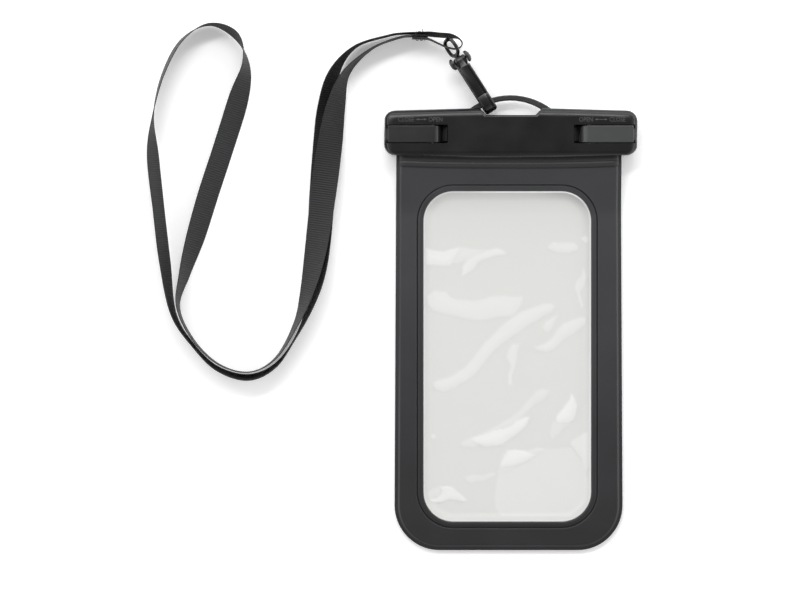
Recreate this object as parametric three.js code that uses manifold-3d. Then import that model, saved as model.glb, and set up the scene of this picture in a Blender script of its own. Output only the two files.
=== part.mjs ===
// A waterproof phone pouch lying on its back, seen from +Z with its clasp towards +Y.
// Millimetres. The origin is on the table, under the middle of the pouch without its neck ribbon.
// Two hard clasp bars grip the mouth of a film bag, two levers lock them together, and a ribbon
// hangs on the rear bar's strap arch by a snap hook.
import * as THREE from "three";
import { mergeVertices } from "three/addons/utils/BufferGeometryUtils.js";
import Module from "manifold-3d";

const wasm = await Module();
wasm.setup();

// Clearances
const gap = 0.3; // between pieces that touch
const slideGap = 0.25; // beside a lever in its slot
const pinGap = 0.18; // round a pin in its hole

// Clasp bars
const claspLength = 117.8;
const claspEndHeight = 20.3; // along Y at the ends
const claspCrown = 1.4; // how far each long edge bulges at the middle
const claspY = 88.45; // centre line of the clasp
const claspCorner = 5;
const rearThickness = 7.2;
const frontThickness = 6.5;
const frontRound = 1.8; // radius of the front bar's outer edge
const rearRound = 1.5;
const rearInset = 0.25; // the rear bar hides behind the front bar
const frontBottom = rearThickness + gap;
const claspTop = frontBottom + frontThickness;
const claspBottomY = claspY - claspEndHeight / 2;

// Strap arch and the notch in front of it
const archApexY = claspY + 17.8;
const archOuterRadius = 31.9;
const archInnerRadius = 27;
const archBar = 2.5; // width of the arch at its apex
const archBottom = 4.6;
const archThickness = 2.6;
const notchFloorY = claspY + 8.25;
const notchFloorHalf = 11.4;
const notchTopHalf = 14.4;
const notchTopY = claspY + 11.25;
const notchChamfer = 0.9;

// Levers
const leverWidth = 8.2;
const leverThickness = 3.1;
const leverRadius = 3.85; // barrel round the pin
const leverLip = 5.1; // radius of the lip that catches under the keeper
const leverTipX = claspLength / 2 - 1.5; // distance of the lever's tip from the middle of the clasp
const leverSink = 0.15; // the lever lies this far below the bar's face
const pivotX = leverTipX - 21.2;
const pivotZ = claspTop - 4;
const leverY = claspY - 0.6;
const leverPinRadius = 0.8;
const leverPinLength = 12.4;
const slotEndX = pivotX - 6.9; // inner end of the lever's slot
const slotFloor = 10.5;
const wellX = pivotX + 5.6; // outer end of the opening under the barrel
const wellFloor = 4.4;
const keeperX = slotEndX + gap; // inner face of the keeper post
const keeperPost = 1.15;
const keeperReach = 2.25;
const keeperWidth = 6.4;
const keeperTop = 11.3;
const keeperUnder = 8.9;
const keeperNose = 0.5; // thickness of the keeper's tongue at its tip, below a ramp
const scoopHalf = 2.6; // finger scoop at the lever's tip

// Seals
const sealY = claspBottomY + 3.5;
const sealWidth = 1.8;
const sealHeight = 1.1;
const sealLength = claspLength - 9.8;

// Bag
const bagOffset = -0.75; // the bag sits slightly left of the clasp's middle
const bagTopHalf = claspLength / 2 - 6.4;
const bagBottomHalf = bagTopHalf + 0.9;
const filmGrip = 1.2;
const bagTopY = claspBottomY + filmGrip; // edge of the films inside the clasp
const bagBottomY = -106.25;
const bagCorner = 21;
const mouthCorner = 1;
const restZ = 1.8; // height between the two films where the bag lies on the table
const slopeLength = 28; // from the clasp down to the table
const filmFlat = 0.8; // thickness of the black film
const flangeThickness = 0.65;
const flangeWidth = 2.3;
const flangeSlope = 2;
const flangeLift = 0.15; // half the gap between the welded edges
const filmLift = 0.8; // from the bag's middle to the underside of the black film

// Windows
const windowCentreX = -1.35;
const windowHalfWidth = bagTopHalf - 13.3;
const windowTopY = 61.5;
const windowBottomY = -92.9;
const windowCorner = 14;
const windowFilm = 0.25;
const windowLap = 2.4; // the clear film runs on under the black one
const windowLift = 0.25;
const grooveDistance = 2.8;
const grooveHalf = 0.6;
const grooveDepth = 0.35;

// Bands across the mouth of the bag
const bandBottomY = claspBottomY - 6.3;
const bandInset = 1.4;
const bandThickness = 0.5;
const bandGap = 0.5;

// Snap hook, in its own frame: X from the swivel to the nose, Y across, Z up
const hookX = -23.35;
const hookY = 121.9;
const hookTurn = -57.5; // degrees about Z
const hookWidth = 5.8;
const hookBottom = 1.2;
const hookTop = 13.4;
const hookSpine = 2.6;
const hookLimb = 2.8;
const hookStart = -2.2;
const hookBlock = 2.3; // inner end of the block at the swivel
const hookNose = 27.7;
const noseWall = 2.7;
const noseRound = 4;
const seamX = 18.8; // where the gate meets the nose
const seamLap = 1.2;
const lapGap = 0.3;
const gatePivotX = -0.3;
const gatePivotZ = 11.2;
const gateBarrel = 1.8;
const gateRoot = 2.8;
const gatePinRadius = 0.8;
const rivetRadius = 2.9;
const rivetThickness = 2.1;
const grooveY = 1.5; // groove along the top of the hook
const hookGrooveWidth = 0.9;
const hookGrooveDepth = 0.9;

// Swivel eye
const swivelZ = 7;
const stemRadius = 1.4;
const stemHead = 2.1;
const eyeCentreX = -7.65;
const eyeHalfLength = 4.1; // to the middle of the rail
const eyeHalfWidth = 5.7;
const eyeRail = 0.9;
const eyeRoll = 19; // degrees from upright

// Neck ribbon
const ribbonWidth = 12;
const ribbonThickness = 0.6;
const pinchedWidth = 7.6; // where it is gathered through the eye
const threadRadius = 0.22;

const radians = THREE.MathUtils.degToRad;
const smooth = THREE.MathUtils.smoothstep;

// Turns a closed geometry into a solid, and a solid back into a geometry.
function solid(geometry) {
  const bare = geometry.index ? geometry.toNonIndexed() : geometry.clone();
  bare.deleteAttribute("normal");
  bare.deleteAttribute("uv");
  const merged = mergeVertices(bare, 1e-4);
  return new wasm.Manifold(
    new wasm.Mesh({
      numProp: 3,
      vertProperties: new Float32Array(merged.attributes.position.array),
      triVerts: new Uint32Array(merged.index.array),
    }),
  );
}

function geometryOf(made) {
  const mesh = made.getMesh();
  const geometry = new THREE.BufferGeometry();
  geometry.setAttribute("position", new THREE.BufferAttribute(mesh.vertProperties, 3));
  geometry.setIndex(new THREE.BufferAttribute(mesh.triVerts, 1));
  return geometry;
}

const cut = (body, ...tools) => tools.reduce((left, tool) => left.subtract(solid(tool)), body);
const join = (body, ...others) => others.reduce((sum, other) => sum.add(solid(other)), body);

// A closed skin through rings of equally many points. Closed rings get flat caps; a section
// that itself closes in a ring is wrapped round with wrap.
function loft(rings, wrap = false) {
  const count = rings[0].length;
  const points = rings.flat();
  const faces = [];
  const last = wrap ? rings.length : rings.length - 1;
  for (let i = 0; i < last; i++) {
    const next = (i + 1) % rings.length;
    for (let j = 0; j < count; j++) {
      const side = (j + 1) % count;
      const a = i * count + j;
      const b = i * count + side;
      const c = next * count + side;
      const d = next * count + j;
      // Opposite faces share the direction of their diagonals, so that a twisted strip stays thick
      faces.push(...(j < count / 2 ? [a, b, c, a, c, d] : [a, b, d, b, c, d]));
    }
  }
  if (!wrap) {
    const cap = (ring, flip, start) => {
      const flat = flattened(ring);
      for (const [a, b, c] of THREE.ShapeUtils.triangulateShape(flat, [])) {
        faces.push(...(flip ? [start + a, start + c, start + b] : [start + a, start + b, start + c]));
      }
    };
    cap(rings[0], true, 0);
    cap(rings.at(-1), false, (rings.length - 1) * count);
  }
  const geometry = new THREE.BufferGeometry().setFromPoints(points);
  geometry.setIndex(faces);
  return geometry;
}

// A ring's points in its own plane, so that its cap can be triangulated.
function flattened(ring) {
  const normal = new THREE.Vector3();
  const centre = ring.reduce((sum, p) => sum.add(p), new THREE.Vector3()).divideScalar(ring.length);
  ring.forEach((p, i) => {
    const q = ring[(i + 1) % ring.length];
    normal.add(p.clone().sub(centre).cross(q.clone().sub(centre)));
  });
  normal.normalize();
  const across = ring[0].clone().sub(centre);
  across.addScaledVector(normal, -across.dot(normal)).normalize();
  const up = normal.clone().cross(across);
  return ring.map((p) => new THREE.Vector2(p.clone().sub(centre).dot(across), p.clone().sub(centre).dot(up)));
}

// An outline raised to a list of heights, each with how far it is drawn in.
function raised(outline, levels) {
  return loft(levels.map(([z, inset]) => outline(inset).map(([x, y]) => new THREE.Vector3(x, y, z))));
}

// Heights and insets of a rounded edge, from the start of the curve to its end.
function rounding(z, radius, steps, upwards) {
  return Array.from({ length: steps + 1 }, (_, i) => {
    const turn = (Math.PI / 2) * (upwards ? i / steps : 1 - i / steps);
    const height = radius * Math.sin(turn);
    return [upwards ? z - radius + height : z + radius - height, radius * (1 - Math.cos(turn))];
  });
}

const box = (x0, x1, y0, y1, z0, z1) =>
  new THREE.BoxGeometry(x1 - x0, y1 - y0, z1 - z0).translate((x0 + x1) / 2, (y0 + y1) / 2, (z0 + z1) / 2);

// A profile of [x, z] points carried along Y, centred on y.
function alongY(profile, width, y, bevel = 0) {
  const drawn = profile instanceof THREE.Shape;
  const points = drawn ? profile.getPoints(5) : profile.map(([x, z]) => new THREE.Vector2(x, z));
  const shape = new THREE.Shape(points.filter((p, i) => p.distanceTo(points[(i + 1) % points.length]) > 0.01));
  const geometry = new THREE.ExtrudeGeometry(shape, {
    depth: width - 2 * bevel,
    bevelEnabled: bevel > 0,
    bevelSize: bevel,
    bevelOffset: -bevel,
    bevelThickness: bevel,
    bevelSegments: 1,
  });
  return geometry.rotateX(Math.PI / 2).translate(0, y + width / 2 - bevel, 0);
}

const rod = (radius, length, x, y, z, sides = 16) =>
  new THREE.CylinderGeometry(radius, radius, length, sides).translate(x, y, z);

// Clasp outline: long edges bulge by the crown, and the corners are round.
function claspOutline(inset) {
  const half = claspLength / 2 - inset;
  const corner = Math.max(claspCorner - inset, 0.3);
  const edge = (x) => claspEndHeight / 2 - inset + claspCrown * (1 - (x / (claspLength / 2)) ** 2);
  const points = [];
  const longSteps = 12;
  const cornerSteps = 5;
  for (const turn of [0, 1]) {
    const sign = turn ? -1 : 1;
    const centreX = half - corner;
    for (let i = 0; i <= cornerSteps; i++) {
      const angle = (Math.PI / 2) * (i / cornerSteps);
      const y = edge(centreX) - corner;
      points.push([sign * (centreX + corner * Math.cos(angle)), claspY + sign * (y + corner * Math.sin(angle))]);
    }
    for (let i = 1; i < longSteps; i++) {
      const x = centreX * (1 - (2 * i) / longSteps);
      points.push([sign * x, claspY + sign * edge(x)]);
    }
    for (let i = 0; i < cornerSteps; i++) {
      const angle = (Math.PI / 2) * (1 + i / cornerSteps);
      const y = edge(centreX) - corner;
      points.push([sign * (-centreX + corner * Math.cos(angle)), claspY + sign * (y + corner * Math.sin(angle))]);
    }
  }
  return points;
}

// Notch in the top edge; a negative inset opens it.
const notchOutline = (inset) => {
  const slope = (notchTopHalf - notchFloorHalf) / (notchTopY - notchFloorY);
  const highY = notchTopY + 4;
  const highHalf = notchFloorHalf + slope * (highY - notchFloorY);
  return [
    [-notchFloorHalf + inset, notchFloorY + inset],
    [notchFloorHalf - inset, notchFloorY + inset],
    [highHalf - inset, highY],
    [-highHalf + inset, highY],
  ];
};

// The bag's outer edge half-width at a height along Y.
function bagHalf(y) {
  const share = (bagTopY - y) / (bagTopY - bagBottomY);
  return bagTopHalf + (bagBottomHalf - bagTopHalf) * share;
}

// Points round a rounded rectangle, equally many for any inset: left side up, right side down.
const sideSteps = 12;
const cornerSteps = 5;
const endSteps = 5;
function roundedRing(halfAt, centreX, topY, bottomY, topCorner, bottomCorner, inset) {
  const top = topY - inset;
  const bottom = bottomY + inset;
  const upper = Math.max(topCorner - inset, 0.4);
  const lower = Math.max(bottomCorner - inset, 0.4);
  const half = (y) => halfAt(y) - inset;
  const points = [];
  const arc = (sign, y, radius, from) => {
    for (let i = 0; i <= cornerSteps; i++) {
      const angle = from + (Math.PI / 2) * (i / cornerSteps);
      const x = centreX + sign * (half(y) - radius);
      points.push([x + radius * Math.cos(angle), y + radius * Math.sin(angle)]);
    }
  };
  const line = (from, to, steps, place) => {
    for (let i = 1; i < steps; i++) {
      points.push(place(from + (to - from) * (i / steps)));
    }
  };
  const low = bottom + lower;
  const high = top - upper;
  const sideY = (share) => high - (high - low) * share ** 1.5;
  arc(1, low, lower, -Math.PI / 2);
  line(1, 0, sideSteps, (share) => [centreX + half(sideY(share)), sideY(share)]);
  arc(1, high, upper, 0);
  line(half(high) - upper, -half(high) + upper, endSteps, (x) => [centreX + x, top]);
  arc(-1, high, upper, Math.PI / 2);
  line(0, 1, sideSteps, (share) => [centreX - half(sideY(share)), sideY(share)]);
  arc(-1, low, lower, Math.PI);
  line(-half(low) + lower, half(low) - lower, endSteps, (x) => [centreX + x, bottom]);
  return points;
}

const bagRing = (inset) => roundedRing(bagHalf, bagOffset, bagTopY, bagBottomY, mouthCorner, bagCorner, inset);
const windowRing = (outset) =>
  roundedRing(
    () => windowHalfWidth, windowCentreX, windowTopY, windowBottomY, windowCorner, windowCorner, -outset,
  );

// Height of the bag's middle surface: level in the clasp, then down to the table.
const mouthZ = rearThickness + gap / 2;
function middleZ(y) {
  return restZ + (mouthZ - restZ) * smooth(y, claspBottomY - slopeLength, claspBottomY - 1);
}

// Distance in from the welded edge: the sides and the bottom, not the mouth.
function edgeDistance(x, y) {
  const side = bagHalf(y) - Math.abs(x - bagOffset);
  const bottom = y - bagBottomY;
  const cornerX = side < bagCorner;
  const cornerY = bottom < bagCorner;
  if (cornerX && cornerY) {
    return bagCorner - Math.hypot(bagCorner - side, bagCorner - bottom);
  }
  return Math.min(side, bottom);
}

const seamShare = (x, y) => smooth(edgeDistance(x, y), flangeWidth, flangeWidth + flangeSlope);
const underLift = (x, y) => flangeLift + (filmLift - flangeLift) * seamShare(x, y);
const filmThickness = (x, y) => flangeThickness + (filmFlat - flangeThickness) * seamShare(x, y);
const topLift = (x, y) => underLift(x, y) + filmThickness(x, y);

// One black film frame: side is 1 for the front and -1 for the back.
function frameGeometry(side) {
  const top = (ring, dip) =>
    ring.map(([x, y]) => new THREE.Vector3(x, y, middleZ(y) + side * (topLift(x, y) - dip)));
  const under = (ring) => ring.map(([x, y]) => new THREE.Vector3(x, y, middleZ(y) + side * underLift(x, y)));
  const slopeMiddle = flangeWidth + flangeSlope / 2;
  const slopeEnd = flangeWidth + flangeSlope;
  const outer = bagRing(slopeEnd);
  const inner = windowRing(grooveDistance + grooveHalf);
  const between = (a, b, share) => a.map(([x, y], i) => [x + (b[i][0] - x) * share, y + (b[i][1] - y) * share]);
  const rings = [
    top(bagRing(0), 0.25),
    top(bagRing(0.3), 0),
    top(bagRing(flangeWidth), 0),
    top(bagRing(slopeMiddle), 0),
    top(outer, 0),
    top(between(outer, inner, 0.33), 0),
    top(between(outer, inner, 0.67), 0),
    top(inner, 0),
    top(windowRing(grooveDistance), grooveDepth),
    top(windowRing(grooveDistance - grooveHalf), 0),
    top(windowRing(0.4), 0),
    top(windowRing(0), 0.3),
    under(windowRing(0)),
    under(inner),
    under(between(outer, inner, 0.67)),
    under(between(outer, inner, 0.33)),
    under(outer),
    under(bagRing(slopeMiddle)),
    under(bagRing(flangeWidth)),
    under(bagRing(0)),
  ];
  return loft(side > 0 ? rings : rings.reverse(), true);
}

// Creases of the clear film: from, to, half width, height.
const creases = [
  [-38, 30, -6, 28, 5, 0.7],
  [18, 36, 32, 31, 5, 0.8],
  [30, 24, 27, 8, 5, 0.8],
  [-37, 11, 4, 5, 5, 0.7],
  [-31, -32, 19, 6, 5, 1.1],
  [0, -8, -1, -30, 4, 0.5],
  [18, -32, -20, -57, 6, 1.1],
  [20, -36, 30, -48, 6, 0.7],
  [-4, -60, 16, -69, 6, 0.6],
  [-36, -78, -22, -84, 6, 0.5],
];
const creaseFade = 9; // the creases die out this far from the frame

function creaseHeight(x, y) {
  const inside = Math.min(windowHalfWidth - Math.abs(x - windowCentreX), windowTopY - y, y - windowBottomY);
  let height = 0;
  for (const [ax, ay, bx, by, width, lift] of creases) {
    const length = Math.hypot(bx - ax, by - ay);
    const along = ((x - ax) * (bx - ax) + (y - ay) * (by - ay)) / length;
    const across = ((x - ax) * (by - ay) - (y - ay) * (bx - ax)) / length;
    const beyond = Math.max(-along, along - length, 0);
    height += lift * Math.exp(-((across / width) ** 2) - (beyond / (2 * width)) ** 2);
  }
  return height * smooth(inside, 0, creaseFade);
}

// One clear film: rings drawn in towards the middle, above and below.
function windowGeometry(side) {
  const shares = [1, 0.93, 0.82, 0.68, 0.52, 0.35, 0.18];
  const centreY = (windowTopY + windowBottomY) / 2;
  const outline = windowRing(windowLap);
  const rings = shares.map((share) =>
    outline.map(([x, y]) => [windowCentreX + (x - windowCentreX) * share, centreY + (y - centreY) * share]),
  );
  const height = (x, y) => middleZ(y) + side * windowLift + (side > 0 ? creaseHeight(x, y) : 0);
  const skin = (ring, lift) => ring.map(([x, y]) => new THREE.Vector3(x, y, height(x, y) + lift));
  const thickness = side * windowFilm;
  const below = rings.map((ring) => skin(ring, 0)).reverse();
  const above = rings.map((ring) => skin(ring, thickness));
  const all = [...below, ...above];
  return loft(side > 0 ? all : all.reverse());
}

// A strip across the mouth, welded on the outside of the black film.
function bandGeometry(side) {
  const rows = 3;
  const edges = [bandInset, flangeWidth, flangeWidth + flangeSlope / 2, flangeWidth + flangeSlope, 10, 20, 36];
  const across = [...edges.map((d) => d - bagTopHalf), 0, ...edges.map((d) => bagTopHalf - d).reverse()];
  const corner = (i, j, lift) => {
    const x = bagOffset + across[i];
    const y = bandBottomY + ((bagTopY - bandBottomY) * j) / rows;
    return new THREE.Vector3(x, y, middleZ(y) + side * (topLift(x, y) + bandGap + lift));
  };
  const rings = across.map((_, i) => {
    const under = Array.from({ length: rows + 1 }, (_, j) => corner(i, j, 0));
    const over = Array.from({ length: rows + 1 }, (_, j) => corner(i, rows - j, bandThickness));
    return [...under, ...over];
  });
  return loft(side > 0 ? rings : rings.reverse());
}

const bandLift = filmLift + filmFlat + bandGap + bandThickness; // outer face of a band in the clasp

function frontBar() {
  const levels = [[frontBottom, 0.4], [frontBottom + 0.4, 0], ...rounding(claspTop, frontRound, 4, true)];
  const body = solid(raised(claspOutline, levels));
  const notch = raised(notchOutline, [
    [frontBottom - 1, 0],
    [claspTop - notchChamfer, 0],
    [claspTop + 0.2, -notchChamfer - 0.2],
  ]);
  const tools = [notch, filmRebate(frontBottom - 1, mouthZ + bandLift + gap)];
  tools.push(sealGroove(frontBottom - 1, frontBottom + sealHeight + gap));
  const slotHalf = leverWidth / 2 + slideGap;
  const pinHoleLength = leverPinLength + 2 * pinGap;
  for (const side of [-1, 1]) {
    const span = (near, far) => (side < 0 ? [-far, -near] : [near, far]);
    tools.push(box(...span(slotEndX, leverTipX + gap), leverY - slotHalf, leverY + slotHalf, slotFloor, 20));
    tools.push(box(...span(slotEndX, wellX), leverY - slotHalf, leverY + slotHalf, frontBottom - 1, slotFloor + 1));
    tools.push(box(...span(leverTipX - 1, claspLength), leverY - scoopHalf, leverY + scoopHalf, slotFloor + 0.6, 20));
    tools.push(rod(leverPinRadius + pinGap, pinHoleLength, side * pivotX, leverY, pivotZ));
  }
  // Hollows behind the face, between ribs
  const hollowTop = claspTop - 2.2;
  const hollowY = [leverY - slotHalf, notchFloorY - 1.6];
  for (const x of [-17.4, 0, 17.4]) {
    tools.push(box(x - 7.8, x + 7.8, ...hollowY, frontBottom - 1, hollowTop));
  }
  return cut(body, ...tools);
}

// Room at the bars' lower edge for the films and the bands.
function filmRebate(bottom, top) {
  const side = bagTopHalf + 0.6;
  return box(bagOffset - side, bagOffset + side, claspBottomY - 6, bagTopY + gap, bottom, top);
}

function sealGroove(bottom, top) {
  const half = sealWidth / 2 + gap;
  const length = sealLength / 2 + gap;
  return box(-length, length, sealY - half, sealY + half, bottom, top);
}

function rearBar() {
  const levels = [
    ...rounding(0, rearRound, 3, false).map(([z, inset]) => [z, inset + rearInset]),
    [rearThickness - 0.4, rearInset],
    [rearThickness, rearInset + 0.4],
  ];
  const arc = (radius, apexY, half, steps) =>
    Array.from({ length: steps + 1 }, (_, i) => {
      const angle = Math.PI / 2 - half + (2 * half * i) / steps;
      return [radius * Math.cos(angle), apexY - radius + radius * Math.sin(angle)];
    });
  const outer = arc(archOuterRadius, archApexY, 0.75, 16);
  const inner = arc(archInnerRadius, archApexY - archBar, 0.72, 16).reverse();
  const arch = (inset) => [
    ...outer.map(([x, y]) => [x, y - inset]),
    ...inner.map(([x, y]) => [x, y + inset]),
  ];
  const archTop = archBottom + archThickness;
  const archSolid = raised(arch, [
    [archBottom, 0.4], [archBottom + 0.4, 0], [archTop - 0.4, 0], [archTop, 0.4],
  ]);
  const notch = raised(notchOutline, [[-1, 0], [rearThickness + 1, 0]]);
  const tools = [filmRebate(mouthZ - bandLift - gap, rearThickness + 1)];
  tools.push(sealGroove(rearThickness - sealHeight - gap, rearThickness + 1));
  const wellHalf = leverWidth / 2 + slideGap;
  const postFace = keeperX + keeperPost;
  const posts = [];
  for (const side of [-1, 1]) {
    const span = (near, far) => (side < 0 ? [-far, -near] : [near, far]);
    const wide = [leverY - keeperWidth / 2, leverY + keeperWidth / 2];
    tools.push(box(...span(postFace, wellX), leverY - wellHalf, leverY + wellHalf, wellFloor, rearThickness + 1));
    posts.push(box(...span(keeperX, postFace), ...wide, wellFloor - 1, keeperUnder + 0.2));
    const tip = keeperX + keeperReach;
    const tongue = [[keeperX, keeperUnder], [tip, keeperUnder], [tip, keeperUnder + keeperNose], [keeperX, keeperTop]];
    const placed = tongue.map(([x, z]) => [side * x, z]);
    posts.push(alongY(side < 0 ? placed.reverse() : placed, keeperWidth, leverY));
  }
  const body = cut(solid(raised(claspOutline, levels)), notch, ...tools);
  const footHidden = box(-40, 40, claspY - 12, notchFloorY + 0.2, -1, rearThickness + 1);
  const archFree = cut(solid(archSolid), raised(notchOutline, [[-1, 0.01], [archBottom - 1, 0.01]]), footHidden);
  return join(body.add(archFree), ...posts);
}

// One lever, drawn for the left side: barrel round the pin, lip under it, arm out to the tip.
function leverGeometry() {
  const top = claspTop - leverSink;
  const shape = new THREE.Shape();
  const at = (angle, radius) => [-pivotX + radius * Math.cos(angle), pivotZ + radius * Math.sin(angle)];
  shape.moveTo(-leverTipX + 0.8, top);
  shape.quadraticCurveTo(-leverTipX, top, -leverTipX, top - 0.8);
  shape.lineTo(-leverTipX, top - leverThickness + 0.6);
  shape.lineTo(-leverTipX + 0.6, top - leverThickness);
  const underAngle = Math.PI - Math.asin((top - leverThickness - pivotZ) / leverRadius);
  shape.lineTo(...at(underAngle, leverRadius));
  shape.absarc(-pivotX, pivotZ, leverRadius, underAngle, 2.5 * Math.PI, false);
  const lip = [-42, -36, -30, -24, -19].map((angle) => at(radians(angle), leverLip));
  lip.push(at(radians(-19), 3), at(radians(-42), 3));
  const body = join(solid(alongY(shape, leverWidth, leverY, 0.35)), alongY(lip, leverWidth - 0.7, leverY));
  return cut(body, rod(leverPinRadius + pinGap, leverWidth + 2, -pivotX, leverY, pivotZ));
}

function sealGeometry(bottom) {
  return box(-sealLength / 2, sealLength / 2, sealY - sealWidth / 2, sealY + sealWidth / 2, bottom, bottom + sealHeight);
}

// Hook body: a C-shaped plate, with a fork for the gate and a bore for the swivel.
function hookBody() {
  const shape = new THREE.Shape();
  const noseInner = hookNose - noseWall;
  const limbBottom = hookTop - hookLimb;
  const spineTop = hookBottom + hookSpine;
  const baseRound = 2;
  const throatRound = 1.4;
  shape.moveTo(hookStart + baseRound, hookBottom);
  shape.lineTo(hookNose - noseRound, hookBottom);
  shape.absarc(hookNose - noseRound, hookBottom + noseRound, noseRound, -Math.PI / 2, 0, false);
  shape.absarc(hookNose - noseRound, hookTop - noseRound, noseRound, 0, Math.PI / 2, false);
  shape.lineTo(seamX, hookTop);
  shape.lineTo(seamX, hookTop - seamLap);
  shape.lineTo(seamX + seamLap, hookTop - seamLap);
  shape.lineTo(seamX + seamLap, limbBottom);
  shape.lineTo(noseInner - throatRound, limbBottom);
  shape.absarc(noseInner - throatRound, limbBottom - throatRound, throatRound, Math.PI / 2, 0, true);
  shape.absarc(noseInner - throatRound, spineTop + throatRound, throatRound, 0, -Math.PI / 2, true);
  shape.lineTo(hookBlock + 1, spineTop);
  shape.lineTo(hookBlock, spineTop + 1);
  shape.lineTo(hookBlock, hookTop - baseRound);
  shape.absarc(hookBlock - baseRound, hookTop - baseRound, baseRound, 0, Math.PI / 2, false);
  shape.absarc(hookStart + baseRound, hookTop - baseRound, baseRound, Math.PI / 2, Math.PI, false);
  shape.absarc(hookStart + baseRound, hookBottom + baseRound, baseRound, Math.PI, 1.5 * Math.PI, false);
  const body = solid(alongY(shape, hookWidth, 0, 0.5));
  const forkHalf = gateRoot / 2 + gap;
  const fork = box(hookStart - 1, hookBlock + 1, -forkHalf, forkHalf, gatePivotZ - gateBarrel - gap, hookTop + 1);
  const bore = rod(stemRadius + gap, 8, 0, 0, 0).rotateZ(Math.PI / 2).translate(hookStart, 0, swivelZ);
  const socket = rod(stemHead + gap, 4, 0, 0, 0).rotateZ(Math.PI / 2).translate(2 + 0.5, 0, swivelZ);
  const pinHole = rod(gatePinRadius + pinGap, hookWidth + 2, gatePivotX, 0, gatePivotZ);
  return cut(body, fork, bore, socket, pinHole, grooveTool(seamX - 1, hookNose + 1));
}

const grooveTool = (x0, x1) =>
  box(x0, x1, grooveY - hookGrooveWidth / 2, grooveY + hookGrooveWidth / 2, hookTop - hookGrooveDepth, hookTop + 1);

function hookGate() {
  const limbBottom = hookTop - hookLimb;
  const tip = seamX + seamLap - lapGap;
  const armStart = hookBlock + 0.6;
  const arm = [
    [armStart, limbBottom], [tip, limbBottom], [tip, hookTop - seamLap - lapGap],
    [seamX - lapGap, hookTop - seamLap - lapGap], [seamX - lapGap, hookTop], [armStart, hookTop],
  ];
  const rootShape = new THREE.Shape();
  rootShape.moveTo(armStart + 1.2, limbBottom);
  rootShape.lineTo(armStart + 1.2, hookTop - 0.5);
  rootShape.lineTo(gatePivotX, gatePivotZ + gateBarrel);
  rootShape.absarc(gatePivotX, gatePivotZ, gateBarrel, Math.PI / 2, 1.5 * Math.PI, false);
  rootShape.lineTo(gatePivotX + 1, gatePivotZ - gateBarrel);
  const body = join(solid(alongY(arm, hookWidth, 0, 0.4)), alongY(rootShape, gateRoot, 0));
  return cut(body, rod(gatePinRadius + pinGap, 8, gatePivotX, 0, gatePivotZ), grooveTool(armStart + 1, hookNose));
}

// The gate's pin, with a round head on each side of the hook.
function gatePinGeometry() {
  const inner = hookWidth / 2 + gap;
  const outer = inner + rivetThickness;
  const dome = [60, 45, 30, 15].map((angle) => {
    const turn = radians(angle);
    return [rivetRadius * Math.cos(turn), -inner - 0.4 - (rivetThickness - 0.4) * Math.sin(turn) ** 0.8];
  });
  const profile = [
    [0, -outer + 0.5], [0.8, -outer + 0.5], [1, -outer], ...dome,
    [rivetRadius, -inner - 0.4], [rivetRadius - 0.2, -inner], [gatePinRadius, -inner],
  ];
  const half = profile.map(([r, y]) => new THREE.Vector2(r, y));
  const other = profile.map(([r, y]) => new THREE.Vector2(r, -y)).reverse();
  return new THREE.LatheGeometry([...half, ...other], 16).translate(gatePivotX, 0, gatePivotZ);
}

const squared = (value, power) => Math.sign(value) * Math.abs(value) ** power;

// Oval rail, and the stem that turns in the hook's end.
function swivelEye() {
  const steps = 28;
  const sides = 8;
  const roll = radians(eyeRoll);
  const rings = Array.from({ length: steps }, (_, i) => {
    const angle = (2 * Math.PI * i) / steps;
    const cos = Math.cos(angle);
    const sin = Math.sin(angle);
    const along0 = eyeHalfLength * squared(cos, 0.75);
    const wide0 = eyeHalfWidth * squared(sin, 0.75);
    const out = new THREE.Vector3(squared(cos, 1.25) * eyeHalfWidth, 0, squared(sin, 1.25) * eyeHalfLength);
    out.normalize();
    return Array.from({ length: sides }, (_, j) => {
      const turn = (2 * Math.PI * j) / sides;
      const along = along0 + eyeRail * Math.cos(turn) * out.x;
      const wide = wide0 + eyeRail * Math.cos(turn) * out.z;
      const side = eyeRail * Math.sin(turn);
      const y = side * Math.cos(roll) + wide * Math.sin(roll);
      const z = -side * Math.sin(roll) + wide * Math.cos(roll);
      return new THREE.Vector3(eyeCentreX + along, y, swivelZ + z);
    });
  });
  const ring = solid(loft(rings, true));
  const start = eyeCentreX + eyeHalfLength - 0.3;
  const headStart = 0.5 + gap;
  const headEnd = headStart + 1.2;
  const profile = [
    [0, start], [1.1, start], [stemRadius, start + 0.5], [stemRadius, headStart],
    [stemHead, headStart], [stemHead - 0.4, headEnd], [0, headEnd],
  ].map(([r, x]) => new THREE.Vector2(r, x));
  const stem = new THREE.LatheGeometry(profile, 16).rotateZ(-Math.PI / 2).translate(0, 0, swivelZ);
  return ring.add(solid(stem));
}

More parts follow.
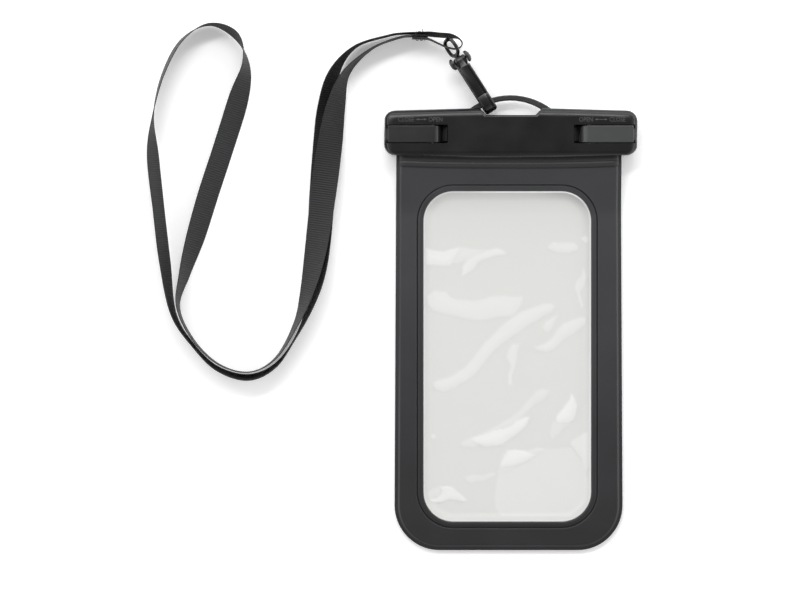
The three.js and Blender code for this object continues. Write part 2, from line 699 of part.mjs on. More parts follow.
// Route of the ribbon: x, y, z and roll in degrees. It starts at the stitched join, runs down
// the front strand, round the two loops, back along the rear strand and round the eye.
const route = [
  [-38.4, 133.7, 6.5, -90], [-45.4, 133.8, 6.5, -90], [-52.4, 132.9, 6.5, -90], [-65, 127.7, 6.5, -89], [-76.5, 116.7, 6.4, -75],
  [-81.3, 101.6, 6.3, -45], [-84.2, 82.9, 6.3, -17], [-86.8, 63.4, 6.3, 4], [-90.7, 35, 6.4, 30],
  [-94.7, 15.4, 6.6, 56], [-99.8, 0, 6.5, 77], [-109.3, -16.2, 6.4, 86], [-121.6, -22.9, 6.4, 90],
  [-135.8, -19.4, 6.4, 90], [-147.9, -8, 6.4, 89], [-155, 7.4, 6.4, 86], [-152.1, 22.6, 6, 68],
  [-146.7, 41, 4.9, 46], [-141, 60.3, 4.4, 40], [-134.3, 80.8, 4.4, 40], [-127, 104.4, 4.6, 42],
  [-123.4, 120.9, 6.2, 76], [-128, 134, 6.3, 104], [-140.5, 139.2, 6.4, 91], [-153.3, 131.9, 6.4, 80],
  [-162, 116, 6.4, 80], [-166.6, 97.1, 6.4, 88], [-166.8, 78.3, 6, 113], [-164.1, 52.7, 6, 113],
  [-161.2, 28.4, 6.1, 112], [-157.1, 4, 6.3, 99], [-147.3, -11.3, 6.4, 94], [-136.3, -21.5, 6.4, 98],
  [-122.2, -25.4, 6.3, 103], [-109.9, -20.1, 6.4, 99], [-100.6, -7.5, 6.4, 94], [-93.7, 7.5, 6.1, 108],
  [-89.9, 24.2, 5.2, 132], [-88.5, 50.8, 2.2, 168], [-86.3, 82.9, 2, 192], [-84.9, 100.2, 3.7, 210],
  [-82.1, 116.7, 6.1, 246], [-72.5, 128.7, 6.5, 267], [-57.1, 133.9, 6.5, 270], [-49.2, 135, 6.5, 270],
  [-41.2, 135, 6.5, 270], [-33.8, 134.7, 6.8, 270], [-28, 134.1, 7, 270], [-24.2, 132.7, 7, 270],
  [-22.5, 130.5, 7, 270], [-23.4, 128.5, 7, 270], [-25.4, 127.8, 7, 270], [-27.6, 128, 7, 270],
  [-30.6, 128.9, 7, 270], [-34.3, 130.6, 6.9, 270], [-38, 132.3, 6.6, 270], [-42.2, 132.8, 6.5, 270],
  [-45.9, 132.8, 6.5, 270],
];
const stepsPerPoint = 2;
const pinchStart = [-40, 133.5]; // the ribbon is full width beyond this distance from the eye

// Uniform Catmull-Rom through the route, with the end tangents carried on.
function ribbonStations() {
  const first = route[0].map((v, k) => 2 * v - route[1][k]);
  const end = route.at(-1).map((v, k) => 2 * v - route.at(-2)[k]);
  const all = [first, ...route, end];
  const stations = [];
  for (let i = 1; i < all.length - 2; i++) {
    for (let j = 0; j < stepsPerPoint; j++) {
      const t = j / stepsPerPoint;
      const [a, b, c, d] = [all[i - 1], all[i], all[i + 1], all[i + 2]];
      stations.push(
        b.map((v, k) => {
          const bend = 2 * a[k] - 5 * v + 4 * c[k] - d[k];
          const curl = 3 * v - a[k] - 3 * c[k] + d[k];
          return 0.5 * (2 * v + (c[k] - a[k]) * t + bend * t * t + curl * t ** 3);
        }),
      );
    }
  }
  stations.push(route.at(-1));
  return stations;
}

function widthAt(x, y) {
  const eye = eyePoint();
  const distance = Math.hypot(x - eye.x, y - eye.y);
  const full = Math.hypot(pinchStart[0] - eye.x, pinchStart[1] - eye.y);
  return pinchedWidth + (ribbonWidth - pinchedWidth) * smooth(distance, 0.55 * full, full);
}

const eyePoint = () =>
  new THREE.Vector2(eyeCentreX, 0).rotateAround(new THREE.Vector2(), radians(hookTurn)).add({ x: hookX, y: hookY });

function ribbonGeometry() {
  const stations = ribbonStations();
  const rings = stations.map(([x, y, z, roll], i) => {
    const before = stations[Math.max(i - 1, 0)];
    const after = stations[Math.min(i + 1, stations.length - 1)];
    const tangent = new THREE.Vector2(after[0] - before[0], after[1] - before[1]).normalize();
    const turn = radians(roll);
    const wide = new THREE.Vector3(-tangent.y * Math.cos(turn), tangent.x * Math.cos(turn), Math.sin(turn));
    const forward = new THREE.Vector3(tangent.x, tangent.y, 0);
    const thick = forward.clone().cross(wide).normalize();
    const centre = new THREE.Vector3(x, y, z);
    const half = widthAt(x, y) / 2;
    const place = (a, b) =>
      centre.clone().addScaledVector(wide, a * half).addScaledVector(thick, (b * ribbonThickness) / 2);
    return [place(-1, -1), place(1, -1), place(1, 1), place(-1, 1)];
  });
  return loft(rings);
}

// The tack at the join: one thread up and down one outer face, over the edge, and up and down the
// other. Its bends are half circles between upright legs.
function stitchingGeometry() {
  const frontY = 135.1 + ribbonThickness / 2 + threadRadius + 0.2;
  const backY = 132.6 - ribbonThickness / 2 - threadRadius - 0.35;
  const low = 6.5 - ribbonWidth / 2 + 1.2;
  const high = 6.5 + ribbonWidth / 2 + threadRadius + 0.25;
  const pitch = 1;
  const bend = pitch / 2;
  const points = [];
  const legs = (x0, step, y, count, up) => {
    for (let i = 0; i < count; i++) {
      const rising = (i % 2 === 0) === up;
      const [from, to] = rising ? [low + bend, high - bend] : [high - bend, low + bend];
      points.push([x0 + i * step, y, from], [x0 + i * step, y, to]);
      for (const angle of i < count - 1 ? [45, 90, 135] : []) {
        const turn = radians(angle);
        const outwards = rising ? bend : -bend;
        points.push([x0 + (i + (1 - Math.cos(turn)) / 2) * step, y, to + outwards * Math.sin(turn)]);
      }
    }
  };
  const overEdge = (x) => {
    points.push([x, backY + 0.15, high - 0.15], [x, backY + bend, high]);
    points.push([x, frontY - bend, high], [x, frontY - 0.15, high - 0.15]);
  };
  legs(-40, -pitch, backY, 5, true);
  overEdge(-40 - 4 * pitch);
  legs(-40 - 4 * pitch, pitch, frontY, 4, false);
  points.push([-40.9, frontY + 0.25, high - 0.1], [-40.6, frontY + 0.9, high + 0.1], [-41, frontY + 1.9, high - 0.5]);
  const sides = 6;
  const across = new THREE.Vector3(1, 0, 0);
  const rings = points.map((point, i) => {
    const here = new THREE.Vector3(...point);
    const way = (j) => new THREE.Vector3(...points[j]).sub(here).normalize();
    const tangent = new THREE.Vector3();
    if (i > 0) {
      tangent.sub(way(i - 1));
    }
    if (i < points.length - 1) {
      tangent.add(way(i + 1));
    }
    tangent.normalize();
    across.addScaledVector(tangent, -across.dot(tangent)).normalize();
    const up = tangent.clone().cross(across);
    return Array.from({ length: sides }, (_, j) => {
      const angle = (2 * Math.PI * j) / sides;
      const spread = here.clone().addScaledVector(across, threadRadius * Math.cos(angle));
      return spread.addScaledVector(up, threadRadius * Math.sin(angle));
    });
  });
  return loft(rings);
}

const finish = {
  abs: { color: 0x2b2b2c, roughness: 0.42, metalness: 0 },
  steel: { color: 0xb4b6b8, roughness: 0.3, metalness: 1 },
  silicone: { color: 0x8f9092, roughness: 0.6, metalness: 0 },
  film: { color: 0x3c3c3f, roughness: 0.55, metalness: 0 },
  clear: { color: 0xe4e5e4, roughness: 0.12, metalness: 0 },
  acetal: { color: 0x232323, roughness: 0.35, metalness: 0 },
  ribbon: { color: 0x3a3a3c, roughness: 0.85, metalness: 0 },
  thread: { color: 0x2c2c2e, roughness: 0.8, metalness: 0 },
};

function piece(name, made, look) {
  const geometry = made.isBufferGeometry ? made : geometryOf(made);
  const mesh = new THREE.Mesh(geometry, new THREE.MeshStandardMaterial(look));
  mesh.name = name;
  return mesh;
}

const clasp = new THREE.Group();
clasp.add(
  piece("front_bar", frontBar(), finish.abs),
  piece("rear_bar", rearBar(), finish.abs),
  piece("front_seal", sealGeometry(frontBottom), finish.silicone),
  piece("rear_seal", sealGeometry(rearThickness - sealHeight), finish.silicone),
);
for (const [name, side] of [["left", 1], ["right", -1]]) {
  const lever = piece(name + "_lever", leverGeometry(), finish.abs);
  lever.scale.x = side;
  const pin = piece(name + "_lever_pin", rod(leverPinRadius, leverPinLength, 0, 0, 0), finish.steel);
  pin.position.set(-side * pivotX, leverY, pivotZ);
  clasp.add(lever, pin);
}

const bag = new THREE.Group();
for (const [name, side] of [["front", 1], ["rear", -1]]) {
  bag.add(
    piece(name + "_frame", frameGeometry(side), finish.film),
    piece(name + "_window", windowGeometry(side), finish.clear),
    piece(name + "_mouth_band", bandGeometry(side), finish.film),
  );
}

const hook = new THREE.Group();
hook.position.set(hookX, hookY, 0);
hook.rotation.z = radians(hookTurn);
hook.add(
  piece("hook_body", hookBody(), finish.acetal),
  piece("hook_gate", hookGate(), finish.acetal),
  piece("gate_pin", gatePinGeometry(), finish.acetal),
  piece("swivel_eye", swivelEye(), finish.acetal),
);

const strap = new THREE.Group();
strap.add(
  piece("neck_ribbon", ribbonGeometry(), finish.ribbon),
  piece("ribbon_stitching", stitchingGeometry(), finish.thread),
);

const pouch = new THREE.Group();
pouch.add(clasp, bag, hook, strap);

export default pouch;
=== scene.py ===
import math

import bmesh
import bpy
import numpy as np
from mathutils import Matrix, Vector


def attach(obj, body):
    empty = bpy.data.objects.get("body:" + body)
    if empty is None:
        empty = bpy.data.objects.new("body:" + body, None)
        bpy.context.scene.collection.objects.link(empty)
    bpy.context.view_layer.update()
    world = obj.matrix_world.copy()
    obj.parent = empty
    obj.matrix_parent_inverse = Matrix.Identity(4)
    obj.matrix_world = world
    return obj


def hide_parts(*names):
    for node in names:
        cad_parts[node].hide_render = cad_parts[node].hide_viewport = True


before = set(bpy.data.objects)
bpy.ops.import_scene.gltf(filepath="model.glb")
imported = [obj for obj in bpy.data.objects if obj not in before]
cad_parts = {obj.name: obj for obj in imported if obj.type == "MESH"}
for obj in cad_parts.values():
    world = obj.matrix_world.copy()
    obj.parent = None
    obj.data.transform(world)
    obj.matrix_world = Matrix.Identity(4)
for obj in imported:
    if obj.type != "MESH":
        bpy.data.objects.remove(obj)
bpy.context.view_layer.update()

# Lengths below are in millimetres, as a maker would write them. mm turns them to Blender's metres.
mm = 0.001


def smoothStep(x, low, high):
    # 3t^2 - 2t^3 with t from 0 at low to 1 at high
    t = np.clip((x - low) / (high - low), 0, 1)
    return t * t * (3 - 2 * t)


def toLinear(hexColour):
    # sRGB hex to linear, with alpha 1
    values = [int(hexColour[i:i + 2], 16) / 255 for i in (1, 3, 5)]
    return [v / 12.92 if v <= 0.04045 else ((v + 0.055) / 1.055) ** 2.4 for v in values] + [1]


# Camera: straight above, with a long lens. A pixel of the 800 x 591 picture is 0.466 mm on the pouch.
cameraSettings = {
    "pixel": 0.466,
    "middle": (-51.5, 12.8),  # what the middle of the picture looks at
    "focus": 8,  # height above the table where that scale holds
    "distance": 1700,
    "sensor": 36,
}


def makeCamera(s):
    # focal length = sensor x distance / width of the view
    data = bpy.data.cameras.new("topCamera")
    camera = bpy.data.objects.new("topCamera", data)
    bpy.context.scene.collection.objects.link(camera)
    data.sensor_width = s["sensor"]
    data.lens = s["sensor"] * s["distance"] / (800 * s["pixel"])
    data.clip_start = 0.05
    data.clip_end = 20
    x, y = s["middle"]
    camera.location = (x * mm, y * mm, (s["distance"] + s["focus"]) * mm)
    bpy.context.scene.camera = camera


makeCamera(cameraSettings)


def addNode(tree, kind, settings, links):
    # One node: settings are its own values, or its inputs by number; links join (from, output) to an input
    node = tree.nodes.new(kind)
    for key, value in settings.items():
        if isinstance(key, int) or key in node.inputs:
            node.inputs[key].default_value = value
        else:
            setattr(node, key, value)
    for key, (source, output) in links.items():
        tree.links.new(source.outputs[output], node.inputs[key])
    return node


def newMaterial(name, surface):
    # One Principled shader, with surface as its inputs, on an output
    material = bpy.data.materials.new(name)
    material.use_nodes = True
    tree = material.node_tree
    tree.nodes.clear()
    shader = addNode(tree, "ShaderNodeBsdfPrincipled", surface, {})
    addNode(tree, "ShaderNodeOutputMaterial", {}, {"Surface": (shader, "BSDF")})
    return material, tree, shader


def addObject(name, vertices, faces, smooth=True):
    # vertices: an array of points in millimetres; faces: lists of corner numbers
    mesh = bpy.data.meshes.new(name)
    mesh.from_pydata((vertices.reshape(-1, 3) * mm).tolist(), [], faces)
    mesh.polygons.foreach_set("use_smooth", np.full(len(mesh.polygons), smooth))
    mesh.update()
    piece = bpy.data.objects.new(name, mesh)
    bpy.context.scene.collection.objects.link(piece)
    return piece


def gridFaces(rows, columns, closeRows=False, closeColumns=False):
    # Quads of a rows x columns grid of points, wrapped round in either direction
    i = np.arange(rows if closeRows else rows - 1)
    j = np.arange(columns if closeColumns else columns - 1)
    i, j = np.meshgrid(i, j, indexing="ij")
    nextI = (i + 1) % rows
    nextJ = (j + 1) % columns
    corners = [i * columns + j, i * columns + nextJ, nextI * columns + nextJ, nextI * columns + j]
    return np.stack([c.ravel() for c in corners], axis=1)


def tubeFaces(rows, columns):
    # A grid that closes round its columns, with one many-sided face at each end
    faces = gridFaces(rows, columns, closeColumns=True).tolist()
    faces.append(list(range(columns - 1, -1, -1)))
    faces.append([(rows - 1) * columns + k for k in range(columns)])
    return faces


def recalculateNormals(piece):
    # Faces point outwards on a closed shell
    shell = bmesh.new()
    shell.from_mesh(piece.data)
    bmesh.ops.recalc_face_normals(shell, faces=shell.faces)
    shell.to_mesh(piece.data)
    shell.free()


def finishPiece(piece, material, body, nodes=()):
    # The material, the body that it moves with, and the solids that it stands for
    piece.data.materials.clear()
    piece.data.materials.append(material)
    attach(piece, body)
    if nodes:
        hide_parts(*nodes)


def addAttribute(piece, name, values):
    # One number for each vertex, which a material reads by name
    attribute = piece.data.attributes.new(name, "FLOAT", "POINT")
    attribute.data.foreach_set("value", np.asarray(values, dtype=np.float32).ravel())


# Materials. Sizes of their patterns in mm, as on the real ones
patternSizes = {
    "flow": 14,  # streaks in moulded plastic
    "filmTone": 30,
    "filmGrain": 0.6,
    "filmWaves": 6,
    "haze": 9,
    "yarn": (0.5, 0.22),  # across and along the ribbon
    "wear": 2,
}


def patternScale(size):
    # Object coordinates are in metres, so a pattern with cells of size mm has the scale 1 / size
    return 1 / (size * mm)


def mouldedPlastic(name, settings):
    # Black ABS or acetal from a spark-eroded mould: satin, with a fine grain of 0.3 to 0.5 mm that
    # dulls its highlights, and slow variation where the melt flowed
    material, tree, shader = newMaterial(name, {
        "Base Color": toLinear(settings["colour"]), "Roughness": settings["roughness"],
        "IOR": settings.get("ior", 1.53),
    })
    place = addNode(tree, "ShaderNodeTexCoord", {}, {})
    grain = addNode(tree, "ShaderNodeTexNoise", {"Scale": patternScale(settings["grain"]), "Detail": 2.0},
                    {"Vector": (place, "Object")})
    flow = addNode(tree, "ShaderNodeTexNoise", {"Scale": patternScale(patternSizes["flow"]), "Detail": 3.0},
                   {"Vector": (place, "Object")})
    rough = addNode(tree, "ShaderNodeMapRange", {
        "From Min": 0.3, "From Max": 0.7,
        "To Min": settings["roughness"] - 0.05, "To Max": settings["roughness"] + 0.06,
    }, {"Value": (flow, "Fac")})
    bump = addNode(tree, "ShaderNodeBump", {"Strength": settings["bump"], "Distance": 0.00004},
                   {"Height": (grain, "Fac")})
    tree.links.new(rough.outputs["Result"], shader.inputs["Roughness"])
    tree.links.new(bump.outputs["Normal"], shader.inputs["Normal"])
    if "slope" in settings:
        addSlope(tree, place, bump, settings["slope"])
    return material


def addSlope(tree, place, bump, s):
    # The clasp's face falls away slightly toward its upper edge and its ends: height = -depth t^2, with
    # t = 1 - d / width and d the distance in from the curved edge, smoothMin(half - |x|, top - bulge x^2 - y)
    split = addNode(tree, "ShaderNodeSeparateXYZ", {}, {"Vector": (place, "Object")})
    size = addNode(tree, "ShaderNodeMath", {"operation": "ABSOLUTE"}, {0: (split, "X")})
    end = addNode(tree, "ShaderNodeMath", {"operation": "SUBTRACT", 0: s["half"] * mm}, {1: (size, "Value")})
    square = addNode(tree, "ShaderNodeMath", {"operation": "POWER", 1: 2.0}, {0: (size, "Value")})
    edge = addNode(tree, "ShaderNodeMath", {
        "operation": "MULTIPLY_ADD", 1: -s["bulge"] / s["half"] ** 2 / mm, 2: s["top"] * mm,
    }, {0: (square, "Value")})
    upper = addNode(tree, "ShaderNodeMath", {"operation": "SUBTRACT"}, {0: (edge, "Value"), 1: (split, "Y")})
    d = addNode(tree, "ShaderNodeMath", {"operation": "SMOOTH_MIN", 2: s["corner"] * mm},
                {0: (end, "Value"), 1: (upper, "Value")})
    t = addNode(tree, "ShaderNodeMath", {
        "operation": "MULTIPLY_ADD", 1: -1 / (s["width"] * mm), 2: 1.0, "use_clamp": True,
    }, {0: (d, "Value")})
    fall = addNode(tree, "ShaderNodeMath", {"operation": "POWER", 1: 2.0}, {0: (t, "Value")})
    height = addNode(tree, "ShaderNodeMath", {"operation": "MULTIPLY", 1: -s["depth"] * mm},
                     {0: (fall, "Value")})
    slope = addNode(tree, "ShaderNodeBump", {"Strength": 1.0, "Distance": 1.0}, {"Height": (height, "Value")})
    tree.links.new(slope.outputs["Normal"], bump.inputs["Normal"])


claspSlope = {"half": 58.9, "top": 99.95, "bulge": 1.4, "corner": 5, "width": 4, "depth": 1.7}
claspAbs = mouldedPlastic("mouldedAbsClasp", {
    "colour": "#111112", "roughness": 0.3, "grain": 0.3, "bump": 0.25, "ior": 1.47, "slope": claspSlope,
})
archAbs = mouldedPlastic("mouldedAbsArch", {
    "colour": "#242425", "roughness": 0.45, "grain": 0.3, "bump": 0.3,
})
leverAbs = mouldedPlastic("mouldedAbsLever", {
    "colour": "#1d1d1e", "roughness": 0.34, "grain": 0.3, "bump": 0.3,
})
# The right lever is the same ABS as the left one: its paler colour is painted light, standing in for the
# reflection it catches
litRightLeverAbs = mouldedPlastic("mouldedAbsRightLeverPaintedLight", {
    "colour": "#3a3b3b", "roughness": 0.36, "grain": 0.3, "bump": 0.3,
})
letterAbs = mouldedPlastic("mouldedAbsLetters", {
    "colour": "#454547", "roughness": 0.5, "grain": 0.3, "bump": 0.2,
})
hookAcetal = mouldedPlastic("mouldedAcetalHook", {
    "colour": "#0a0a0b", "roughness": 0.28, "grain": 0.5, "bump": 0.12,
})


def weldedFilm(name, settings):
    # Black TPU film, calendered: satin skin with a fine leathery grain of about 0.6 mm and a random tone,
    # greyer toward the mouth as painted light, dark in its welds and where shade is painted
    material, tree, shader = newMaterial(name, {
        "Base Color": toLinear(settings["colour"]), "Roughness": settings["roughness"], "IOR": 1.5,
    })
    place = addNode(tree, "ShaderNodeTexCoord", {}, {})
    tone = addNode(tree, "ShaderNodeTexNoise", {
        "Scale": patternScale(patternSizes["filmTone"]), "Detail": 3.0,
    }, {"Vector": (place, "Object")})
    split = addNode(tree, "ShaderNodeSeparateXYZ", {}, {"Vector": (place, "Object")})
    # painted light: the film greys toward the mouth, added to its random tone
    paintedLightToMouth = addNode(tree, "ShaderNodeMapRange", {
        "From Min": settings["bottomY"] * mm, "From Max": settings["mouthY"] * mm,
        "To Min": -0.35, "To Max": 0.65,
    }, {"Value": (split, "Y")})
    toneAndPaintedLight = addNode(tree, "ShaderNodeMath", {"operation": "MULTIPLY_ADD", 1: 0.7, "use_clamp": True},
                    {0: (tone, "Fac"), 2: (paintedLightToMouth, "Result")})
    colour = addNode(tree, "ShaderNodeMix", {
        "data_type": "RGBA", 6: toLinear(settings["colour"]), 7: toLinear(settings["paleAndLit"]),
    }, {"Factor": (toneAndPaintedLight, "Value")})
    # darker at the welds, and where shade is painted on the window lip and the mouth bands
    weldAndShade = addNode(tree, "ShaderNodeAttribute", {"attribute_name": "weldAndShade"}, {})
    weldedAndShaded = addNode(tree, "ShaderNodeMix", {"data_type": "RGBA", 7: toLinear(settings["weldAndShade"])},
                     {"Factor": (weldAndShade, "Fac"), 6: (colour, "Result")})
    grain = addNode(tree, "ShaderNodeTexVoronoi", {"Scale": patternScale(patternSizes["filmGrain"])},
                    {"Vector": (place, "Object")})
    slow = addNode(tree, "ShaderNodeTexNoise", {
        "Scale": patternScale(patternSizes["filmWaves"]), "Detail": 2.0,
    }, {"Vector": (place, "Object")})
    fine = addNode(tree, "ShaderNodeBump", {"Strength": 0.25, "Distance": 0.00003},
                   {"Height": (grain, "Distance")})
    bump = addNode(tree, "ShaderNodeBump", {"Strength": 0.25, "Distance": 0.0002},
                   {"Height": (slow, "Fac"), "Normal": (fine, "Normal")})
    tree.links.new(weldedAndShaded.outputs["Result"], shader.inputs["Base Color"])
    tree.links.new(bump.outputs["Normal"], shader.inputs["Normal"])
    return material


blackFilm = weldedFilm("calenderedTpuFilm", {
    "colour": "#19191b", "paleAndLit": "#333336", "weldAndShade": "#09090a", "roughness": 0.5,
    "bottomY": -100, "mouthY": 70,  # painted light: it pales between these heights on the bag
})


def clearFilm(name, settings):
    # Clear TPU film, cast: smooth and slightly milky, with painted highlights that whiten its creases and its
    # bead, a paler patch where it clings, and painted shade that greys it near its edge
    material, tree, shader = newMaterial(name, {"Roughness": 0.2, "IOR": 1.5, "Alpha": settings["alpha"]})
    glintAndCling = addNode(tree, "ShaderNodeAttribute", {"attribute_name": "glintAndCling"}, {})
    shade = addNode(tree, "ShaderNodeAttribute", {"attribute_name": "shade"}, {})
    place = addNode(tree, "ShaderNodeTexCoord", {}, {})
    haze = addNode(tree, "ShaderNodeTexNoise", {"Scale": patternScale(patternSizes["haze"]), "Detail": 2.0},
                   {"Vector": (place, "Object")})
    bump = addNode(tree, "ShaderNodeBump", {"Strength": 0.2, "Distance": 0.0002}, {"Height": (haze, "Fac")})
    # painted highlight: the creases, the bead and the cling patch are whitened by the attribute
    paintedHighlight = addNode(tree, "ShaderNodeMix", {
        "data_type": "RGBA", 6: toLinear(settings["colour"]), 7: toLinear("#ffffff"),
    }, {"Factor": (glintAndCling, "Fac")})
    # painted shade greys the film near its edges
    colour = addNode(tree, "ShaderNodeMix", {"data_type": "RGBA", 7: toLinear(settings["shade"])},
                     {"Factor": (shade, "Fac"), 6: (paintedHighlight, "Result")})
    most = addNode(tree, "ShaderNodeMath", {"operation": "MAXIMUM"}, {0: (glintAndCling, "Fac"), 1: (shade, "Fac")})
    alpha = addNode(tree, "ShaderNodeMapRange", {
        "To Min": settings["alpha"], "To Max": settings["glintShadeAlpha"],
    }, {"Value": (most, "Value")})
    tree.links.new(colour.outputs["Result"], shader.inputs["Base Color"])
    tree.links.new(alpha.outputs["Result"], shader.inputs["Alpha"])
    tree.links.new(bump.outputs["Normal"], shader.inputs["Normal"])
    return material


frontClear = clearFilm("castTpuFilmFront", {
    "colour": "#eaeae8", "shade": "#8a8a88", "alpha": 0.6, "glintShadeAlpha": 0.92,
})
rearClear = clearFilm("castTpuFilmRear", {
    "colour": "#dededc", "shade": "#8a8a88", "alpha": 0.65, "glintShadeAlpha": 0.65,
})


def wovenPolyester(name, settings):
    # Black polyester with a rib weft: the ribs are in the mesh, and the colour paints a highlight on their
    # tops and shade in their gaps, broken up by the twist of the yarn, about 0.5 x 0.22 mm
    material, tree, shader = newMaterial(name, {
        "Base Color": toLinear(settings["colour"]), "Roughness": 0.62, "IOR": 1.45,
        "Sheen Weight": 0.06, "Sheen Roughness": 0.4,
    })
    place = addNode(tree, "ShaderNodeUVMap", {"uv_map": "weave"}, {})
    yarnAcross, yarnAlong = patternSizes["yarn"]
    scale = addNode(tree, "ShaderNodeMapping", {"Scale": (1 / yarnAcross, 1 / yarnAlong, 1)},
                    {"Vector": (place, "UV")})
    yarn = addNode(tree, "ShaderNodeTexNoise", {"Scale": 1.0, "Detail": 2.0}, {"Vector": (scale, "Vector")})
    # rib = 0.5 - 0.5 cos(2 pi v / pitch), times 0.6 + 0.8 yarn: painted highlight on the ribs' tops, painted
    # shade in the gaps
    split = addNode(tree, "ShaderNodeSeparateXYZ", {}, {"Vector": (place, "UV")})
    phase = addNode(tree, "ShaderNodeMath", {"operation": "MULTIPLY", 1: 2 * math.pi / settings["pitch"]},
                    {0: (split, "Y")})
    wave = addNode(tree, "ShaderNodeMath", {"operation": "COSINE"}, {0: (phase, "Value")})
    rib = addNode(tree, "ShaderNodeMath", {"operation": "MULTIPLY_ADD", 1: -0.5, 2: 0.5},
                  {0: (wave, "Value")})
    spread = addNode(tree, "ShaderNodeMath", {"operation": "MULTIPLY_ADD", 1: 0.8, 2: 0.6},
                     {0: (yarn, "Fac")})
    paintedHighlight = addNode(tree, "ShaderNodeMath", {"operation": "MULTIPLY", "use_clamp": True},
                    {0: (rib, "Value"), 1: (spread, "Value")})
    colour = addNode(tree, "ShaderNodeMix", {
        "data_type": "RGBA", 6: toLinear(settings["colour"]), 7: toLinear(settings["paleAndLit"]),
    }, {"Factor": (paintedHighlight, "Value")})
    bump = addNode(tree, "ShaderNodeBump", {"Strength": 0.5, "Distance": 0.00008}, {"Height": (yarn, "Fac")})
    tree.links.new(colour.outputs["Result"], shader.inputs["Base Color"])
    tree.links.new(bump.outputs["Normal"], shader.inputs["Normal"])
    return material


ribPitch = 1.07
threadTwist = 1.3  # distance of one turn of the plies
ribbonCloth = wovenPolyester("wovenPolyesterRibbon", {
    "colour": "#010101", "paleAndLit": "#242427", "pitch": ribPitch,
})
sewingThread = wovenPolyester("spunPolyesterThread", {
    "colour": "#0b0b0c", "paleAndLit": "#18181a", "pitch": threadTwist,
})


def plainMaterial(name, settings):
    # Small inner pieces: a slow change of roughness is all that shows on them
    material, tree, shader = newMaterial(name, settings)
    place = addNode(tree, "ShaderNodeTexCoord", {}, {})
    wear = addNode(tree, "ShaderNodeTexNoise", {"Scale": patternScale(patternSizes["wear"]), "Detail": 2.0},
                   {"Vector": (place, "Object")})
    rough = addNode(tree, "ShaderNodeMapRange", {
        "To Min": settings["Roughness"] - 0.06, "To Max": settings["Roughness"] + 0.08,
    }, {"Value": (wear, "Fac")})
    tree.links.new(rough.outputs["Result"], shader.inputs["Roughness"])
    return material


drawnSteel = plainMaterial("drawnSteelPin", {
    "Base Color": toLinear("#b0b2b4"), "Roughness": 0.3, "Metallic": 1.0,
})
silicone = plainMaterial("extrudedSilicone", {
    "Base Color": toLinear("#85878a"), "Roughness": 0.6, "IOR": 1.43,
})
print("materials made")


# Neck ribbon: the route is x, y, z and roll in degrees. It is the solid's, apart from three rolls near
# the eye, where the woven ribbon twists a little less.
ribbonRoute = [
    (-38.4, 133.7, 6.5, -90), (-45.4, 133.8, 6.5, -90), (-52.4, 132.9, 6.5, -90), (-65, 127.7, 6.5, -89),
    (-76.5, 116.7, 6.4, -75), (-81.3, 101.6, 6.3, -45), (-84.2, 82.9, 6.3, -17), (-86.8, 63.4, 6.3, 4),
    (-90.7, 35, 6.4, 30), (-94.7, 15.4, 6.6, 56), (-99.8, 0, 6.5, 77), (-109.3, -16.2, 6.4, 86),
    (-121.6, -22.9, 6.4, 90), (-135.8, -19.4, 6.4, 90), (-147.9, -8, 6.4, 89), (-155, 7.4, 6.4, 86),
    (-152.1, 22.6, 6, 68), (-146.7, 41, 4.9, 46), (-141, 60.3, 4.4, 40), (-134.3, 80.8, 4.4, 40),
    (-127, 104.4, 4.6, 42), (-123.4, 120.9, 6.2, 76), (-128, 134, 6.3, 104), (-140.5, 139.2, 6.4, 91),
    (-153.3, 131.9, 6.4, 80), (-162, 116, 6.4, 80), (-166.6, 97.1, 6.4, 88), (-166.8, 78.3, 6, 113),
    (-164.1, 52.7, 6, 113), (-161.2, 28.4, 6.1, 112), (-157.1, 4, 6.3, 99), (-147.3, -11.3, 6.4, 94),
    (-136.3, -21.5, 6.4, 98), (-122.2, -25.4, 6.3, 103), (-109.9, -20.1, 6.4, 99), (-100.6, -7.5, 6.4, 94),
    (-93.7, 7.5, 6.1, 108), (-89.9, 24.2, 5.2, 132), (-88.5, 50.8, 2.2, 168), (-86.3, 82.9, 2, 192),
    (-84.9, 100.2, 3.7, 210), (-82.1, 116.7, 6.1, 246), (-72.5, 128.7, 6.5, 267), (-57.1, 133.9, 6.5, 270),
    (-49.2, 135, 6.5, 270), (-41.2, 135, 6.5, 267), (-33.8, 134.3, 6.8, 258), (-28, 133.8, 7, 258),
    (-24.2, 132.7, 7, 270), (-22.5, 130.5, 7, 270), (-23.4, 128.5, 7, 270), (-25.4, 127.8, 7, 270),
    (-27.6, 128, 7, 270), (-30.6, 128.9, 7, 270), (-34.3, 130.6, 6.9, 270), (-38, 132.3, 6.6, 270),
    (-42.2, 132.8, 6.5, 270), (-45.9, 132.8, 6.5, 270),
]
ribbonSettings = {
    "width": 12,
    "pinchedWidth": 7.6,  # gathered where it goes through the eye
    "eye": (-27.46, 128.35),
    "pinchReach": (7.4, 13.5),  # distance from the eye where it narrows
    "thickness": 0.6,
    "ribHeight": 0.2,
    "ringsPerRib": 4,
    "across": (0.2, 0.6, 0.9, 0.95, 0.985, 1),  # shares of the half width with a row of points
    "selvedge": 0.5,  # the smooth edge of the weave
}


def splinePath(route, perPoint):
    # Uniform Catmull-Rom through the route, with its end tangents carried on
    points = np.array(route, float)
    points = np.vstack([2 * points[0] - points[1], points, 2 * points[-1] - points[-2]])
    t = np.linspace(0, 1, perPoint, endpoint=False)[None, :, None]
    a, b, c, d = (points[k:len(points) - 3 + k, None, :] for k in range(4))
    run = 0.5 * (2 * b + (c - a) * t + (2 * a - 5 * b + 4 * c - d) * t ** 2
                 + (3 * b - a - 3 * c + d) * t ** 3)
    return np.vstack([run.reshape(-1, points.shape[1]), points[-2]])


